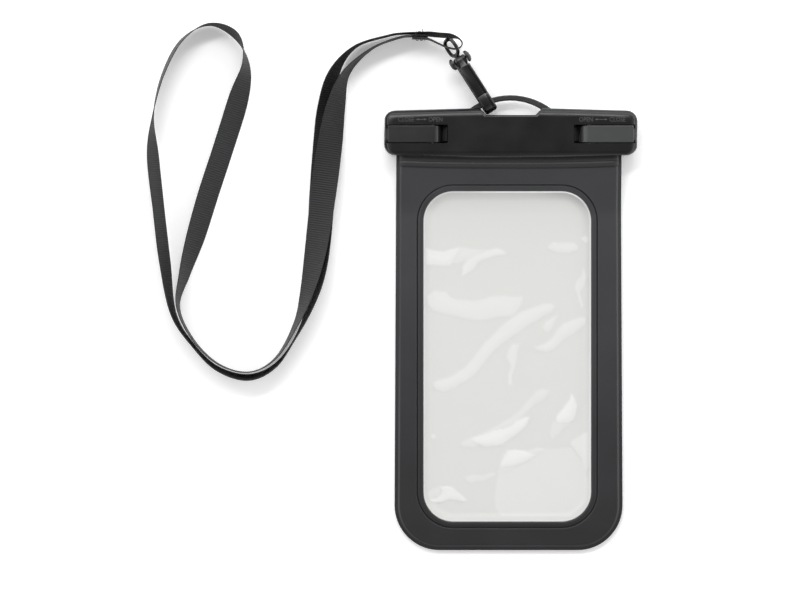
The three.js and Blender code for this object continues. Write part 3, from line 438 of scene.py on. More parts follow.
def evenly(path, step):
    # The same path with a station every step, and each station's distance along it
    gaps = np.linalg.norm(np.diff(path[:, :3], axis=0), axis=1)
    along = np.concatenate([[0], np.cumsum(gaps)])
    count = int(round(along[-1] / step))
    stations = np.linspace(0, along[-1], count + 1)
    return np.stack([np.interp(stations, along, path[:, k]) for k in range(path.shape[1])], axis=1), stations


def makeRibbon(s):
    # Section: a flat strip whose two faces carry cross ribs, sin^2 along the length, that die out at the
    # selvedges. It is set across the route by the roll, measured from level.
    path, along = evenly(splinePath(ribbonRoute, 24), ribPitch / s["ringsPerRib"])
    xy = path[:, :2]
    tangent = np.gradient(xy, axis=0)
    tangent /= np.linalg.norm(tangent, axis=1, keepdims=True)
    roll = np.radians(path[:, 3])
    wide = np.stack([-tangent[:, 1] * np.cos(roll), tangent[:, 0] * np.cos(roll), np.sin(roll)], axis=1)
    forward = np.column_stack([tangent, np.zeros(len(path))])
    thick = np.cross(forward, wide)
    reach = np.hypot(xy[:, 0] - s["eye"][0], xy[:, 1] - s["eye"][1])
    width = s["pinchedWidth"] + (s["width"] - s["pinchedWidth"]) * smoothStep(reach, *s["pinchReach"])
    across = np.array([-share for share in s["across"][::-1]] + list(s["across"]))
    edge = np.clip((1 - np.abs(across)) * s["width"] / 2 / s["selvedge"], 0, 1)
    rib = np.sin(np.pi * along / ribPitch) ** 2 - 0.5
    face = s["thickness"] / 2 * np.sqrt(np.clip(1 - (1 - np.minimum(edge * 3, 1)) ** 2, 0, 1))
    lift = face[None, :] + s["ribHeight"] * (rib[:, None] * smoothStep(edge, 0.5, 1)[None, :] - 0.5)
    lift = np.maximum(lift, 0.02)
    u = np.concatenate([across, across[::-1]])
    v = np.concatenate([lift, -lift[:, ::-1]], axis=1)
    sideways = (width[:, None] / 2 * u[None, :])[:, :, None]
    points = path[:, None, :3] + wide[:, None, :] * sideways + thick[:, None, :] * v[:, :, None]
    rows, columns = points.shape[:2]
    ribbon = addObject("neckRibbon", points, tubeFaces(rows, columns))
    # the weave's UV is in millimetres, across and along
    mesh = ribbon.data
    uv = mesh.uv_layers.new(name="weave")
    index = np.empty(len(mesh.loops), np.int64)
    mesh.loops.foreach_get("vertex_index", index)
    uvU = np.broadcast_to(u[None, :] * s["width"] / 2, (rows, columns)).ravel()
    uvV = np.broadcast_to(along[:, None], (rows, columns)).ravel()
    uv.data.foreach_set("uv", np.column_stack([uvU[index], uvV[index]]).ravel().astype(np.float32))
    recalculateNormals(ribbon)
    finishPiece(ribbon, ribbonCloth, "pouch", ["neck_ribbon"])
    line = splinePath(ribbonRoute, 3)[:, :3] * mm
    return ribbon, line.tolist(), along[-1]


ribbon, ribbonLine, ribbonLength = makeRibbon(ribbonSettings)
print("ribbon made, length in mm:", round(ribbonLength, 1))


# Thread of the tack that joins the ribbon's ends and its loop round the eye
threadSettings = {
    "radius": 0.17,
    "back": (132.2, (-40, -41, -42, -43, -44)),  # where its legs lie on the one outer face
    "front": (135.5, (-44, -43, -42, -41)),  # and on the other
    "heights": (1.2, 12.8),
    "bend": 0.48,
}


def makeThread(s):
    # A two-ply tube along legs that go up and down by turns, over the edge and on down the other face
    low, high = s["heights"]
    route = []
    for y, legs in (s["back"], s["front"]):
        for x in legs:
            rising = x % 2 == 0 if y == s["back"][0] else x % 2 == 1
            route += [(x, y, low), (x, y, high)] if rising else [(x, y, high), (x, y, low)]
    x, y, z = route[-1]
    route += [(x + 0.15, y + 0.4, z + 0.1), (x - 0.3, y + 1.2, z - 0.2)]
    path, along = evenly(roundedPath(np.array(route), s["bend"]), 0.25)
    points = tubePoints(path, along, s["radius"], threadTwist)
    thread = addObject("joinThread", points, tubeFaces(*points.shape[:2]))
    thread.data.uv_layers.new(name="weave")  # left at zero, so the thread gets none of the painted rib highlight: the yarn is too thin to show it
    recalculateNormals(thread)
    finishPiece(thread, sewingThread, "pouch", ["ribbon_stitching"])
    return thread


def roundedPath(route, cutBack):
    # Each corner is replaced by a quadratic curve that starts and ends cutBack before and after it
    before = route[1:-1] + cutBack * unit(route[:-2] - route[1:-1])
    after = route[1:-1] + cutBack * unit(route[2:] - route[1:-1])
    t = np.linspace(0, 1, 6)[None, :, None]
    curves = before[:, None] * (1 - t) ** 2 + 2 * route[1:-1, None] * t * (1 - t) + after[:, None] * t ** 2
    return np.vstack([route[:1], curves.reshape(-1, 3), route[-1:]])


def unit(vectors):
    # The vectors at length 1
    return vectors / np.maximum(np.linalg.norm(vectors, axis=-1, keepdims=True), 1e-9)


def tubePoints(path, along, radius, twist, sides=8):
    # Two plies: radius (1 + 0.14 cos 2 (angle - 2 pi along / twist)) round the path
    tangent = unit(np.gradient(path, axis=0))
    across = unit(np.cross(np.broadcast_to([0.05, 1.0, 0.03], path.shape), tangent))
    up = np.cross(tangent, across)
    angle = np.linspace(0, 2 * np.pi, sides, endpoint=False)[None, :]
    r = radius * (1 + 0.14 * np.cos(2 * (angle - 2 * np.pi * along[:, None] / twist)))
    return (path[:, None] + across[:, None] * (r * np.cos(angle))[:, :, None]
            + up[:, None] * (r * np.sin(angle))[:, :, None])


thread = makeThread(threadSettings)
print("thread made")


# Bag: outline and heights are the solids'. The welded edge and the groove are narrower than theirs,
# as the photograph shows them.
bagSettings = {
    "offset": -0.75,
    "topHalf": 52.5,
    "bottomHalf": 53.4,
    "topY": 79.5,
    "bottomY": -106.25,
    "corner": 21,
    "restZ": 1.8,
    "mouthZ": 7.35,
    "slope": (50.3, 77.3),
    "flangeWidth": 1.25,
    "flangeSlope": 1.35,
    "flangeThickness": 0.65,
    "flangeLift": 0.15,
    "filmThickness": 0.8,
    "filmLift": 0.8,
    "windowX": -1.35,
    "windowHalf": 39.2,
    "windowTop": 61.5,
    "windowBottom": -92.9,
    "windowCorner": 14,
    "grooveAt": 2.8,
    "grooveHalf": 0.5,
    "grooveDepth": 0.55,
    "wave": 0.09,  # unevenness of the black film
    # rounded edge: how far in each ring lies, and its share of the film's thickness
    "edgeRings": [(0.12, 0), (0, 0.3), (0, 0.7), (0.1, 0.92), (0.3, 1), (0.7, 1), (1.0, 1)],
    "grooveRings": [0.9, 0.55, 0.4, 0.25, 0.1, -0.1, -0.25, -0.4, -0.55],
    # lip at the window: how far out each ring lies, and its dip
    "lipRings": [(1.6, 0), (1.0, 0.01), (0.6, 0.05), (0.35, 0.12), (0.15, 0.25), (0.03, 0.42), (0, 0.6)],
}


def middleHeight(y, s=bagSettings):
    # Height between the two films: a smooth step from the table up to the clasp
    return s["restZ"] + (s["mouthZ"] - s["restZ"]) * smoothStep(y, *s["slope"])


def bagHalf(y, s=bagSettings):
    # Half width, straight from the mouth to the bottom
    share = (s["topY"] - y) / (s["topY"] - s["bottomY"])
    return s["topHalf"] + (s["bottomHalf"] - s["topHalf"]) * share


def outlinePoints(counts, halfAt, centreX, top, bottom, topCorner, bottomCorner, inset):
    # Rounded rectangle from its lower right corner, anticlockwise, equally many points for any inset
    corner, side, end = counts
    top, bottom = top - inset, bottom + inset
    upper, lower = max(topCorner - inset, 0.4), max(bottomCorner - inset, 0.4)
    low, high = bottom + lower, top - upper
    turn = np.linspace(0, np.pi / 2, corner + 1)
    share = np.linspace(0, 1, side + 1)[1:-1]
    sideY = low + (high - low) * share

    def arc(sign, y, radius, start):
        x = centreX + sign * (halfAt(y) - inset - radius)
        return np.column_stack([x + radius * np.cos(start + turn), y + radius * np.sin(start + turn)])

    def level(y, radius, reverse):
        half = halfAt(y) - inset - radius
        x = centreX + np.linspace(-half, half, end + 1)[1:-1]
        return np.column_stack([x[::-1] if reverse else x, np.full(end - 1, top if reverse else bottom)])

    right = np.column_stack([centreX + halfAt(sideY) - inset, sideY])
    left = np.column_stack([centreX - halfAt(sideY) + inset, sideY])[::-1]
    parts = [arc(1, low, lower, -np.pi / 2), right, arc(1, high, upper, 0), level(high, upper, True),
             arc(-1, high, upper, np.pi / 2), left, arc(-1, low, lower, np.pi), level(low, lower, False)]
    return np.vstack(parts)


ringCounts = (18, 150, 76)  # steps round a corner, along a side and along an end


def bagRing(inset, s=bagSettings):
    # The bag's outline, inset from its edge
    return outlinePoints(ringCounts, bagHalf, s["offset"], s["topY"], s["bottomY"], 1, s["corner"], inset)


def windowRing(outset, s=bagSettings):
    # The window's outline, outset into the black film
    half = lambda y: s["windowHalf"] + 0 * y
    return outlinePoints(ringCounts, half, s["windowX"], s["windowTop"], s["windowBottom"],
                         s["windowCorner"], s["windowCorner"], -outset)


def edgeDistance(x, y, s=bagSettings):
    # How far in from the welded edge: the sides and the bottom, round the bottom corners
    side = bagHalf(y) - np.abs(x - s["offset"])
    bottom = y - s["bottomY"]
    r = s["corner"]
    round_ = r - np.hypot(r - side, r - bottom)
    return np.where((side < r) & (bottom < r), round_, np.minimum(side, bottom))


def unevenness(x, y):
    # A few long, low waves of a film that was welded hot: a sum of sines of 45 to 90 mm
    return (np.sin(x / 9.1 + y / 23 + 0.7) * 0.4 + np.sin(y / 7.3 - x / 31) * 0.3
            + np.sin((x + y) / 13.7 + 2.1) * 0.3)


def makeFilmFrame(side, name, node, s=bagSettings):
    # Section, from the welded edge over the top to the window and back below. Each ring is an outline,
    # its share of the thickness, its dip and how dark it is, as a weld or as painted shade
    slopeEnd = s["flangeWidth"] + s["flangeSlope"]
    outer = bagRing(slopeEnd + 0.4)
    inner = windowRing(s["grooveAt"] + 1.4)

    def height(xy, share, dip):
        # share runs from the underside, 0, to the top, 1
        x, y = xy[:, 0], xy[:, 1]
        seam = smoothStep(edgeDistance(x, y), s["flangeWidth"], slopeEnd)
        under = s["flangeLift"] + (s["filmLift"] - s["flangeLift"]) * seam
        thick = s["flangeThickness"] + (s["filmThickness"] - s["flangeThickness"]) * seam
        wave = s["wave"] * unevenness(x, y) * seam * smoothStep(78 - y, 0, 12) * share
        beside = np.maximum(np.abs(x - s["windowX"]) - s["windowHalf"], 0)
        beyond = np.maximum(np.maximum(y - s["windowTop"], s["windowBottom"] - y), 0)
        wave = wave * smoothStep(np.hypot(beside, beyond), 1, 8)
        return middleHeight(y) + side * (under + thick * share + wave - dip)

    rings = []
    for inset, share in s["edgeRings"]:
        rings.append((bagRing(inset), share, 0, smoothStep(0.4 - inset, 0, 0.3)))
    for inset in np.linspace(s["flangeWidth"], slopeEnd, 7):
        rings.append((bagRing(inset), 1, 0, 0.5 * smoothStep(s["flangeWidth"] + 0.8 - inset, 0, 0.5)))
    for t in np.linspace(0, 1, 14):
        rings.append((outer + (inner - outer) * t, 1, 0, 0))
    for offset in s["grooveRings"]:
        dip = s["grooveDepth"] * (1 - smoothStep(abs(offset), 0.08, s["grooveHalf"]))
        rings.append((windowRing(s["grooveAt"] + offset), 1, dip, dip / s["grooveDepth"]))
    for outset, dip in s["lipRings"]:
        xy = windowRing(outset)  # painted shade: a darker strip, wider along the bottom and the left
        # painted shade: the lip darkens more along the bottom and the left, over the weld's own darkness
        strip = np.maximum(smoothStep(-xy[:, 1], 74, 92), 0.6 * smoothStep(-xy[:, 0], 32, 40))
        rings.append((xy, 1, dip, np.maximum(dip, 0.45 * strip)))
    rings.append((windowRing(0.1), 0, 0, 0))
    for t in [1, 0.75, 0.5, 0.25, 0]:
        rings.append((outer + (inner - outer) * t, 0, 0, 0))
    for inset in np.linspace(slopeEnd, s["flangeWidth"], 4):
        rings.append((bagRing(inset), 0, 0, 0))
    points = np.stack([np.column_stack([xy, height(xy, share, dip)]) for xy, share, dip, weldAndShade in rings])
    faces = gridFaces(*points.shape[:2], closeRows=True, closeColumns=True)
    piece = addObject(name, points, faces.tolist())
    recalculateNormals(piece)
    addAttribute(piece, "weldAndShade", np.stack([np.broadcast_to(ring[3], points.shape[1]) for ring in rings]))
    finishPiece(piece, blackFilm, "pouch", [node])


makeFilmFrame(1, "frontFilm", "front_frame")
makeFilmFrame(-1, "rearFilm", "rear_frame")
print("black films made")


# Creases of the front window: outlines of the facets, in mm, where the clear film stands up, each with
# its share of the height and of the painted highlight that whitens it
creaseFacets = [
    ([(-39.8, 34.9), (-36.7, 33.8), (-31.3, 33.5), (-27.2, 34.5), (-23.7, 35.1), (-24.4, 32.5),
      (-26.5, 28.4), (-27.8, 27.1), (-39.1, 26.8), (-39.8, 31.1)], 0.85),
    ([(-23.7, 35.1), (-16.9, 34.5), (-11.4, 34.2), (-12.8, 33.1), (-15.5, 31.8), (-19, 29.4),
      (-24.4, 27.5), (-26.8, 28), (-25.1, 32.5)], 0.5),
    ([(-1.5, 32.5), (-3.6, 33.8), (-6.7, 34.4), (-11.4, 33.8), (-15.5, 32.1), (-19.6, 29.4),
      (-22, 26.3), (-22.9, 21.5), (-20.3, 22.9), (-16.9, 25.6), (-14.9, 28.4), (-12.8, 29.7),
      (-6.7, 31.1), (-2.5, 31.6)], 0.75),
    ([(17.3, 35.9), (20, 37.9), (24.8, 37.2), (29.6, 36.9), (31.6, 35.5), (31.3, 33.8), (27.5, 32.5),
      (22.1, 33.1), (17.6, 34.9)], 0.65),
    ([(33, 39.6), (35, 40.8), (36.8, 40.3), (36.8, 37.6), (34.4, 37.6)], 0.8),
    ([(-39.1, 12), (-35.4, 15), (-29.9, 14.7), (-27.8, 12), (-25.1, 10.6), (-17.6, 10.2), (-10.1, 12),
      (-1.9, 12.3), (6, 12.6), (5.3, 9.9), (2.9, 5.1), (0.9, 3.1), (-6, 2.4), (-13.5, 1.4), (-21, 1.8),
      (-28.5, 4.1), (-36, 5.8), (-38.8, 8.5)], 0.55),
    ([(20.4, 7.9), (18.6, 9.2), (14.5, 8.5), (9.8, 6.5), (4.3, 5.1), (-0.5, 1), (-6, -3.8),
      (-11.4, -8.6), (-16.9, -16.1), (-21.7, -21.5), (-26.5, -24.6), (-34, -27), (-35.9, -28.7),
      (-35, -30.8), (-31.3, -31.8), (-25.8, -30.4), (-20.3, -27.4), (-16.9, -24.3), (-13.5, -19.5),
      (-6, -12), (0.9, -5.8), (6.3, -2.4), (13.2, 1), (18.6, 5.1)], 0.6),
    ([(22.7, 4.1), (19.7, 2.4), (16.6, -0), (15.2, -2.4), (16.9, -4.5), (19.3, -2.4), (21.4, 1)], 0.55),
    ([(35.7, 2.7), (33.7, 2.7), (30.3, 1.4), (25.5, -0.4), (22.1, -3.1), (18.6, -7.9), (15.2, -10.6),
      (11.1, -12), (13.2, -13), (17.3, -13.3), (20.7, -12), (24.8, -7.9), (29.6, -5.1), (33.7, -1.7),
      (35.7, 0.3)], 0.6),
    ([(1.2, -9.9), (4.3, -9.6), (3.9, -13.3), (2.2, -19.5), (0.9, -24.3), (1.4, -28.7), (-0.5, -28.7),
      (-0.8, -23.6), (0.2, -20.2), (-1.5, -16.1), (-0.2, -12)], 0.55),
    ([(34, 26), (35.4, 22.2), (34.7, 17.4), (33, 14), (34, 8.5), (33, 6.5), (32, 9.9), (31.6, 14),
      (30.6, 16.1), (31.3, 19.5), (33, 22.2)], 0.5),
    ([(18.3, -31.5), (15.2, -31.1), (11.8, -32.5), (8.4, -36.3), (5, -40.4), (0.2, -44.5), (-6, -48.2),
      (-12.8, -51.3), (-18.3, -53.7), (-22.4, -56.1), (-23.1, -57.4), (-21, -58.1), (-16.9, -58),
      (-12.8, -56.1), (-10.1, -52), (-3.2, -49.2), (2.9, -45.8), (7.7, -42.4), (11.8, -38.3),
      (15.2, -36.3)], 0.45),
    ([(9.4, -44.1), (6.3, -44.5), (2.9, -45.5), (0.2, -47.9), (-3.2, -49.6), (-9.4, -51), (-15.5, -53),
      (-18.6, -54.4), (-15.5, -56.1), (-11.4, -57.6), (-6.7, -57.8), (-3.2, -57.1), (0.2, -54),
      (4.3, -50.6), (7.7, -47.2)], 1),
    ([(28.6, -33.2), (29.9, -35.6), (31.3, -39), (30.9, -43.1), (29.9, -45.5), (26.8, -47.2),
      (22.7, -46.9), (21.4, -45.5), (22.1, -43.1), (24.8, -40.4), (27.5, -36.3)], 1),
    ([(21.4, -45.5), (25.5, -47.2), (28.9, -47.5), (24.8, -49.2), (22.1, -52), (20, -54), (18.5, -52),
      (19, -48.6), (20, -46.2)], 0.4),
    ([(36.1, -50.6), (34.4, -51.3), (31.6, -53.7), (29.2, -55.4), (28.6, -57.1), (30.9, -60.2),
      (33, -63.6), (34.4, -67), (35.7, -69.8), (37.1, -65.7), (38.1, -60.2), (37.8, -54.7)], 0.6),
    ([(-1.2, -59.8), (2.2, -59.2), (6.3, -59.8), (11.8, -62.2), (7.7, -64.6), (2.9, -66.3),
      (-1.9, -67.4), (-4.9, -68.4), (-4.6, -65.7), (-3.2, -62.9)], 1),
    ([(7.7, -60.2), (13.2, -58.8), (17.6, -59.2), (13.9, -61), (11.1, -62.2)], 0.5),
    ([(-4.9, -68.4), (-1.9, -67.4), (4.3, -66.3), (-0.5, -69.8), (-4.9, -70.8)], 0.4),
    ([(-21, -72.5), (-16.9, -71.1), (-12.1, -71.1), (-7.3, -70.4), (-6.7, -71.8), (-11.4, -73.2),
      (-15.5, -73.9), (-18.3, -74.9), (-20.3, -74.2)], 0.4),
    ([(-33.3, -76.6), (-29.9, -76.2), (-27.2, -76.9), (-25.1, -79.3), (-22.4, -81.4), (-20.3, -83.4),
      (-21.7, -84.1), (-25.1, -83.1), (-28.5, -82.4), (-31.9, -83.8), (-35.4, -84.2), (-37.8, -83.1),
      (-34.7, -82.1), (-32.6, -80), (-32.3, -78.3)], 0.85),
    ([(-39.1, -80), (-36.7, -77.6), (-33.3, -76.6), (-32.3, -78.6), (-33.3, -81.4), (-36.7, -82.4),
      (-38.8, -82.1)], 0.35),
    ([(-35.9, -52), (-34.5, -53.2), (-35.7, -54.3), (-37.1, -53.7), (-36.9, -52.5)], 0.6),
]
clingPatch = [(-3.2, -60.9), (28.2, -58.1), (34.4, -65.7), (37.4, -76.6), (36.4, -83.4), (28.2, -90.3),
              (-3.9, -90.6), (-6.7, -86.8), (-7.3, -82.1), (-5.6, -69.8)]
windowSettings = {
    "lap": 2.1,  # how far the film goes on under the black one
    "lift": 0.25,
    "rise": 0.5,  # the film leaves its weld this much higher, and sinks over the next lengths
    "sink": 4.5,
    "thickness": 0.25,
    "step": 0.62,
    "edge": 1.1,  # over this distance a facet's edge turns
    "fade": 3.0,
    "facetHeight": 0.3,
    "facetGlint": 0.38,
    "bead": (0.45, 0.28, 0.1),  # how far in, half width and height of the bead along the weld
    # a painted highlight whitens the bead along the top, right of the middle, and down the right side
    "shineTop": (0.9, 54, 60),
    "shineFrom": (-30, 0),
    "shineRight": (0.35, 36, 38),
    "shineLeast": 0.25,
    # painted shade in strips along the edges: how dark, and over which range of y, x + y or y - x it comes in
    "strips": 6.5,
    "shadeTop": (0.3, 50, 58),
    "shadeRightCorner": (0.4, 66, 92),
    "shadeLeftCorner": (0.1, 76, 96),
    "shadeSides": 0.14,
    "shadeRight": (0.22, 30, 36),
    "shadeRightFrom": (-60, 30),
}


def polygonDistance(x, y, polygon):
    # Signed distance to a closed outline, positive inside: nearest segment, and a winding test
    best = np.full(x.shape, 1e9)
    inside = np.zeros(x.shape, bool)
    corners = np.array(polygon, float)
    for (ax, ay), (bx, by) in zip(corners, np.roll(corners, -1, axis=0)):
        dx, dy = bx - ax, by - ay
        t = np.clip(((x - ax) * dx + (y - ay) * dy) / (dx * dx + dy * dy), 0, 1)
        best = np.minimum(best, np.hypot(x - ax - t * dx, y - ay - t * dy))
        crosses = (ay > y) != (by > y)
        inside ^= crosses & (x < ax + (y - ay) * dx / (dy if dy else 1e-9))
    return np.where(inside, best, -best)


def windowCreases(x, y, s):
    # Height and painted highlight of the facets: each rises over its soft edge to a low roof; the cling patch
    # is paler
    height = np.zeros(x.shape)
    glintWhiteness = np.zeros(x.shape)
    waveX = x + 0.3 * np.sin(y / 2.3 + 1.1)
    waveY = y + 0.3 * np.sin(x / 2.7 + 0.4)
    for polygon, facetShare in creaseFacets:
        d = polygonDistance(waveX, waveY, polygon)
        mask = smoothStep(d, -s["edge"] / 2, s["edge"] / 2)
        height = np.maximum(height, s["facetHeight"] * facetShare * mask * (0.5 + 0.5 * np.clip(d / 4, 0, 1)))
        glintWhiteness = np.maximum(glintWhiteness, s["facetGlint"] * facetShare * mask * (0.75 + 0.25 * np.clip(d / 3, 0, 1)))
    cling = smoothStep(polygonDistance(x, y, clingPatch), -0.8, 0.8)
    return height, np.maximum(glintWhiteness, 0.12 * cling)


def part(value, setting):
    # An amount that comes in over a range: amount x smoothStep(value, low, high)
    amount, low, high = setting
    return amount * smoothStep(value, low, high)


def windowInside(x, y, b=bagSettings):
    # Distance in from the window's rounded outline
    middle, half = (b["windowTop"] + b["windowBottom"]) / 2, (b["windowTop"] - b["windowBottom"]) / 2
    r = b["windowCorner"]
    p = np.abs(x - b["windowX"]) - (b["windowHalf"] - r)
    q = np.abs(y - middle) - (half - r)
    return r - np.hypot(np.maximum(p, 0), np.maximum(q, 0)) - np.minimum(np.maximum(p, q), 0)


def makeWindow(side, name, node, material, s=windowSettings, b=bagSettings):
    # A rounded rectangle swept in two parameters: rows along Y, and across each row the half width of
    # the outline there. Both are spaced by 1.35 t - 0.35 t^3, closer together near the edges.
    top, bottom = b["windowTop"] + s["lap"], b["windowBottom"] - s["lap"]
    half, r = b["windowHalf"] + s["lap"], b["windowCorner"] + s["lap"]
    rows, columns = int((top - bottom) / s["step"]), int(2 * half / s["step"])

    def spaced(count):
        t = np.linspace(-1, 1, count)
        return 1.35 * t - 0.35 * t ** 3

    y = (top + bottom) / 2 - (top - bottom) / 2 * spaced(rows)
    depth = np.clip(np.minimum(top - y, y - bottom), 0, r)
    reach = half - r + np.sqrt(np.maximum(r * r - (r - depth) ** 2, 0))
    x = b["windowX"] + spaced(columns)[None, :] * reach[:, None]
    y = np.broadcast_to(y[:, None], x.shape)
    inside = windowInside(x, y)
    fade = smoothStep(inside, 0, s["fade"])
    low = s["lift"] + s["rise"] * (1 - smoothStep(inside, 0, s["sink"]))
    if side > 0:
        lift, glintWhiteness = windowCreases(x, y, s)
        at, wide, high = s["bead"]
        bead = np.exp(-((inside - at) / wide) ** 2)
        low = low + lift * fade + high * bead
        # painted highlight along the bead
        beadGlint = np.maximum(part(y, s["shineTop"]) * smoothStep(x, *s["shineFrom"]),
                           s["shineLeast"] + part(x, s["shineRight"]))
        glintWhiteness = np.maximum(glintWhiteness * smoothStep(inside, 0.3, 1.2), bead * beadGlint)
        # painted shade: greyer strips along the top, in the upper corners and down the sides
        near = 1 - smoothStep(inside, 0, s["strips"])
        close = 1 - smoothStep(inside, 0, s["strips"] / 2)
        corners = part(x + y, s["shadeRightCorner"]) + part(y - x, s["shadeLeftCorner"])
        right = part(x, s["shadeRight"]) * smoothStep(y, *s["shadeRightFrom"])
        shade = np.maximum(near * (part(y, s["shadeTop"]) + corners), close * (s["shadeSides"] + right))
        shade = shade * smoothStep(inside, at, at + 2 * wide)
    else:
        glintWhiteness, shade = np.zeros(x.shape), np.zeros(x.shape)
    below = middleHeight(y) + side * low
    above = below + side * s["thickness"]
    layers = np.stack([np.stack([x, y, below], axis=2), np.stack([x, y, above], axis=2)])
    # the two layers' faces, and a wall between them round the rim
    offset = rows * columns
    first = gridFaces(rows, columns)
    rim = np.concatenate([
        np.arange(columns), np.arange(1, rows) * columns + columns - 1,
        (rows - 1) * columns + np.arange(columns - 2, -1, -1), np.arange(rows - 2, 0, -1) * columns,
    ])
    following = np.roll(rim, -1)
    wall = np.stack([rim, following, following + offset, rim + offset], axis=1)
    faces = np.vstack([first[:, ::-1], first + offset, wall])
    piece = addObject(name, layers, faces.tolist())
    recalculateNormals(piece)
    addAttribute(piece, "glintAndCling", np.concatenate([glintWhiteness.ravel(), glintWhiteness.ravel()]))
    addAttribute(piece, "shade", np.concatenate([shade.ravel(), shade.ravel()]))
    finishPiece(piece, material, "pouch", [node])


makeWindow(1, "frontWindow", "front_window", frontClear)
makeWindow(-1, "rearWindow", "rear_window", rearClear)
print("clear films made")


# Bands across the mouth
bandSettings = {
    "inset": 1.4,
    "gap": 0.5,
    "endRise": 0.9,  # the lower edge rises toward the bag's sides
    # Y and height of the moulded strip, round its section
    "section": [(79.5, 0), (76, 0), (72.4, 0), (72.2, 0.12), (72.4, 0.3), (72.8, 0.36), (73.15, 0.5),
                (73.6, 0.62), (74.1, 0.6), (74.5, 0.42), (74.8, 0.26), (75.1, 0.42), (75.5, 0.58),
                (76.2, 0.62), (77.0, 0.56), (77.8, 0.5), (79.5, 0.5)],
    "darkness": 0.4,  # of the ridges; below the next height the strip darkens fully, as painted shade in its grooves and at its lower edge
    "shadeBelow": (0.45, 0.2),
}


def makeBand(side, name, node, s=bandSettings, b=bagSettings):
    # A strip with two moulded ridges: u across the bag, v round the section
    half = b["topHalf"] - s["inset"]
    u = np.linspace(-half, half, 90)
    section = np.array(s["section"])
    x, y = np.meshgrid(b["offset"] + u, section[:, 0], indexing="ij")
    y = y + s["endRise"] * (np.abs(u) / half)[:, None] ** 3 * smoothStep(79 - y, 0, 4)
    seam = smoothStep(edgeDistance(x, y), b["flangeWidth"] + 0.2, b["flangeWidth"] + b["flangeSlope"] + 0.9)
    under = b["flangeLift"] + b["flangeThickness"]
    under = under + (b["filmLift"] + b["filmThickness"] - under) * seam
    z = middleHeight(y) + side * (under + s["gap"] + section[None, :, 1])
    points = np.stack([x, y, z], axis=2)
    piece = addObject(name, points, tubeFaces(*points.shape[:2]))
    recalculateNormals(piece)
    # painted shade: the strip's grooves and its lower edge are darkened fully
    level, over = s["shadeBelow"]
    toneAndShade = s["darkness"] + (1 - s["darkness"]) * np.clip((level - section[:, 1]) / over, 0, 1)
    addAttribute(piece, "weldAndShade", np.tile(toneAndShade, len(points)))
    finishPiece(piece, blackFilm, "pouch", [node])


makeBand(1, "frontMouthBand", "front_mouth_band")
makeBand(-1, "rearMouthBand", "rear_mouth_band")
print("mouth bands made")


# Hard mouldings: the solid's shape with its small edges broken, as a mould leaves them. Each has its
# solid, name, material, slot, body, the width of its broken edges and the least angle of such an edge.
mouldings = [
    ("front_bar", "frontBar", claspAbs, "clasp", "pouch", 0.3, 30),
    ("rear_bar", "rearBar", archAbs, "clasp", "pouch", 0.3, 30),
    ("left_lever", "leftLever", leverAbs, "clasp", "left_lever", 0.2, 30),
    ("right_lever", "rightLever", litRightLeverAbs, "clasp", "right_lever", 0.2, 30),
    ("hook_body", "hookBody", hookAcetal, "hook_plastic", "hook", 0.35, 35),
    ("hook_gate", "hookGate", hookAcetal, "hook_plastic", "gate", 0.3, 35),
    ("gate_pin", "gatePin", hookAcetal, "hook_plastic", "hook", 0.2, 40),
    ("swivel_eye", "swivelEye", hookAcetal, "hook_plastic", "pouch", 0.1, 60),
]


mouldingSettings = {
    "merge": 0.002,  # points this close become one
    "flat": 1.5,  # degrees between triangles that lie in one flat face
    "areaWeight": 80,
}


def makeMoulding(node, name, material, slot, body, edge, angle, s=mouldingSettings):
    # A copy of the solid, its points merged and its flat faces joined, with a bevel on its edges
    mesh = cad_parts[node].data.copy()
    mesh.name = name
    shell = bmesh.new()
    shell.from_mesh(mesh)
    bmesh.ops.remove_doubles(shell, verts=shell.verts, dist=s["merge"] * mm)
    bmesh.ops.dissolve_limit(shell, angle_limit=math.radians(s["flat"]), verts=shell.verts, edges=shell.edges)
    shell.to_mesh(mesh)
    shell.free()
    piece = bpy.data.objects.new(name, mesh)
    bpy.context.scene.collection.objects.link(piece)
    mesh.polygons.foreach_set("use_smooth", np.ones(len(mesh.polygons), bool))
    bevel = piece.modifiers.new("brokenEdges", "BEVEL")
    bevel.width = edge * mm
    bevel.segments = 2
    bevel.limit_method = "ANGLE"
    bevel.angle_limit = math.radians(angle)
    bevel.use_clamp_overlap = True
    # the larger faces give the shading its direction, so flat faces stay flat beside their fillets
    if slot == "clasp":
        normals = piece.modifiers.new("faceNormals", "WEIGHTED_NORMAL")
        normals.mode = "FACE_AREA"
        normals.weight = s["areaWeight"]
    finishPiece(piece, material, body, [node])


for row in mouldings:
    makeMoulding(*row)
for node, material in [("left_lever_pin", drawnSteel), ("right_lever_pin", drawnSteel),
                       ("front_seal", silicone), ("rear_seal", silicone)]:
    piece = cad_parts[node]
    piece.data.materials.clear()
    piece.data.materials.append(material)
print("mouldings made")


# Raised words beside the levers, which only say which way they turn
wordSettings = {
    "size": 2.9,  # body size of the type
    "capital": 2.1,  # height of its capitals
    "narrow": 0.88,
    "height": 0.18,
    "y": 93.55,
    "face": 14.0,  # height of the clasp's face above the table, less a little
    "arrowGap": 0.9,
    "arrow": (0.13, 1.3, 0.5),  # half width of its line, length and half width of its heads
    "places": [("leftWords", "CLOSE", "OPEN", -52.4, -31.8), ("rightWords", "OPEN", "CLOSE", 31.7, 53.2)],
}


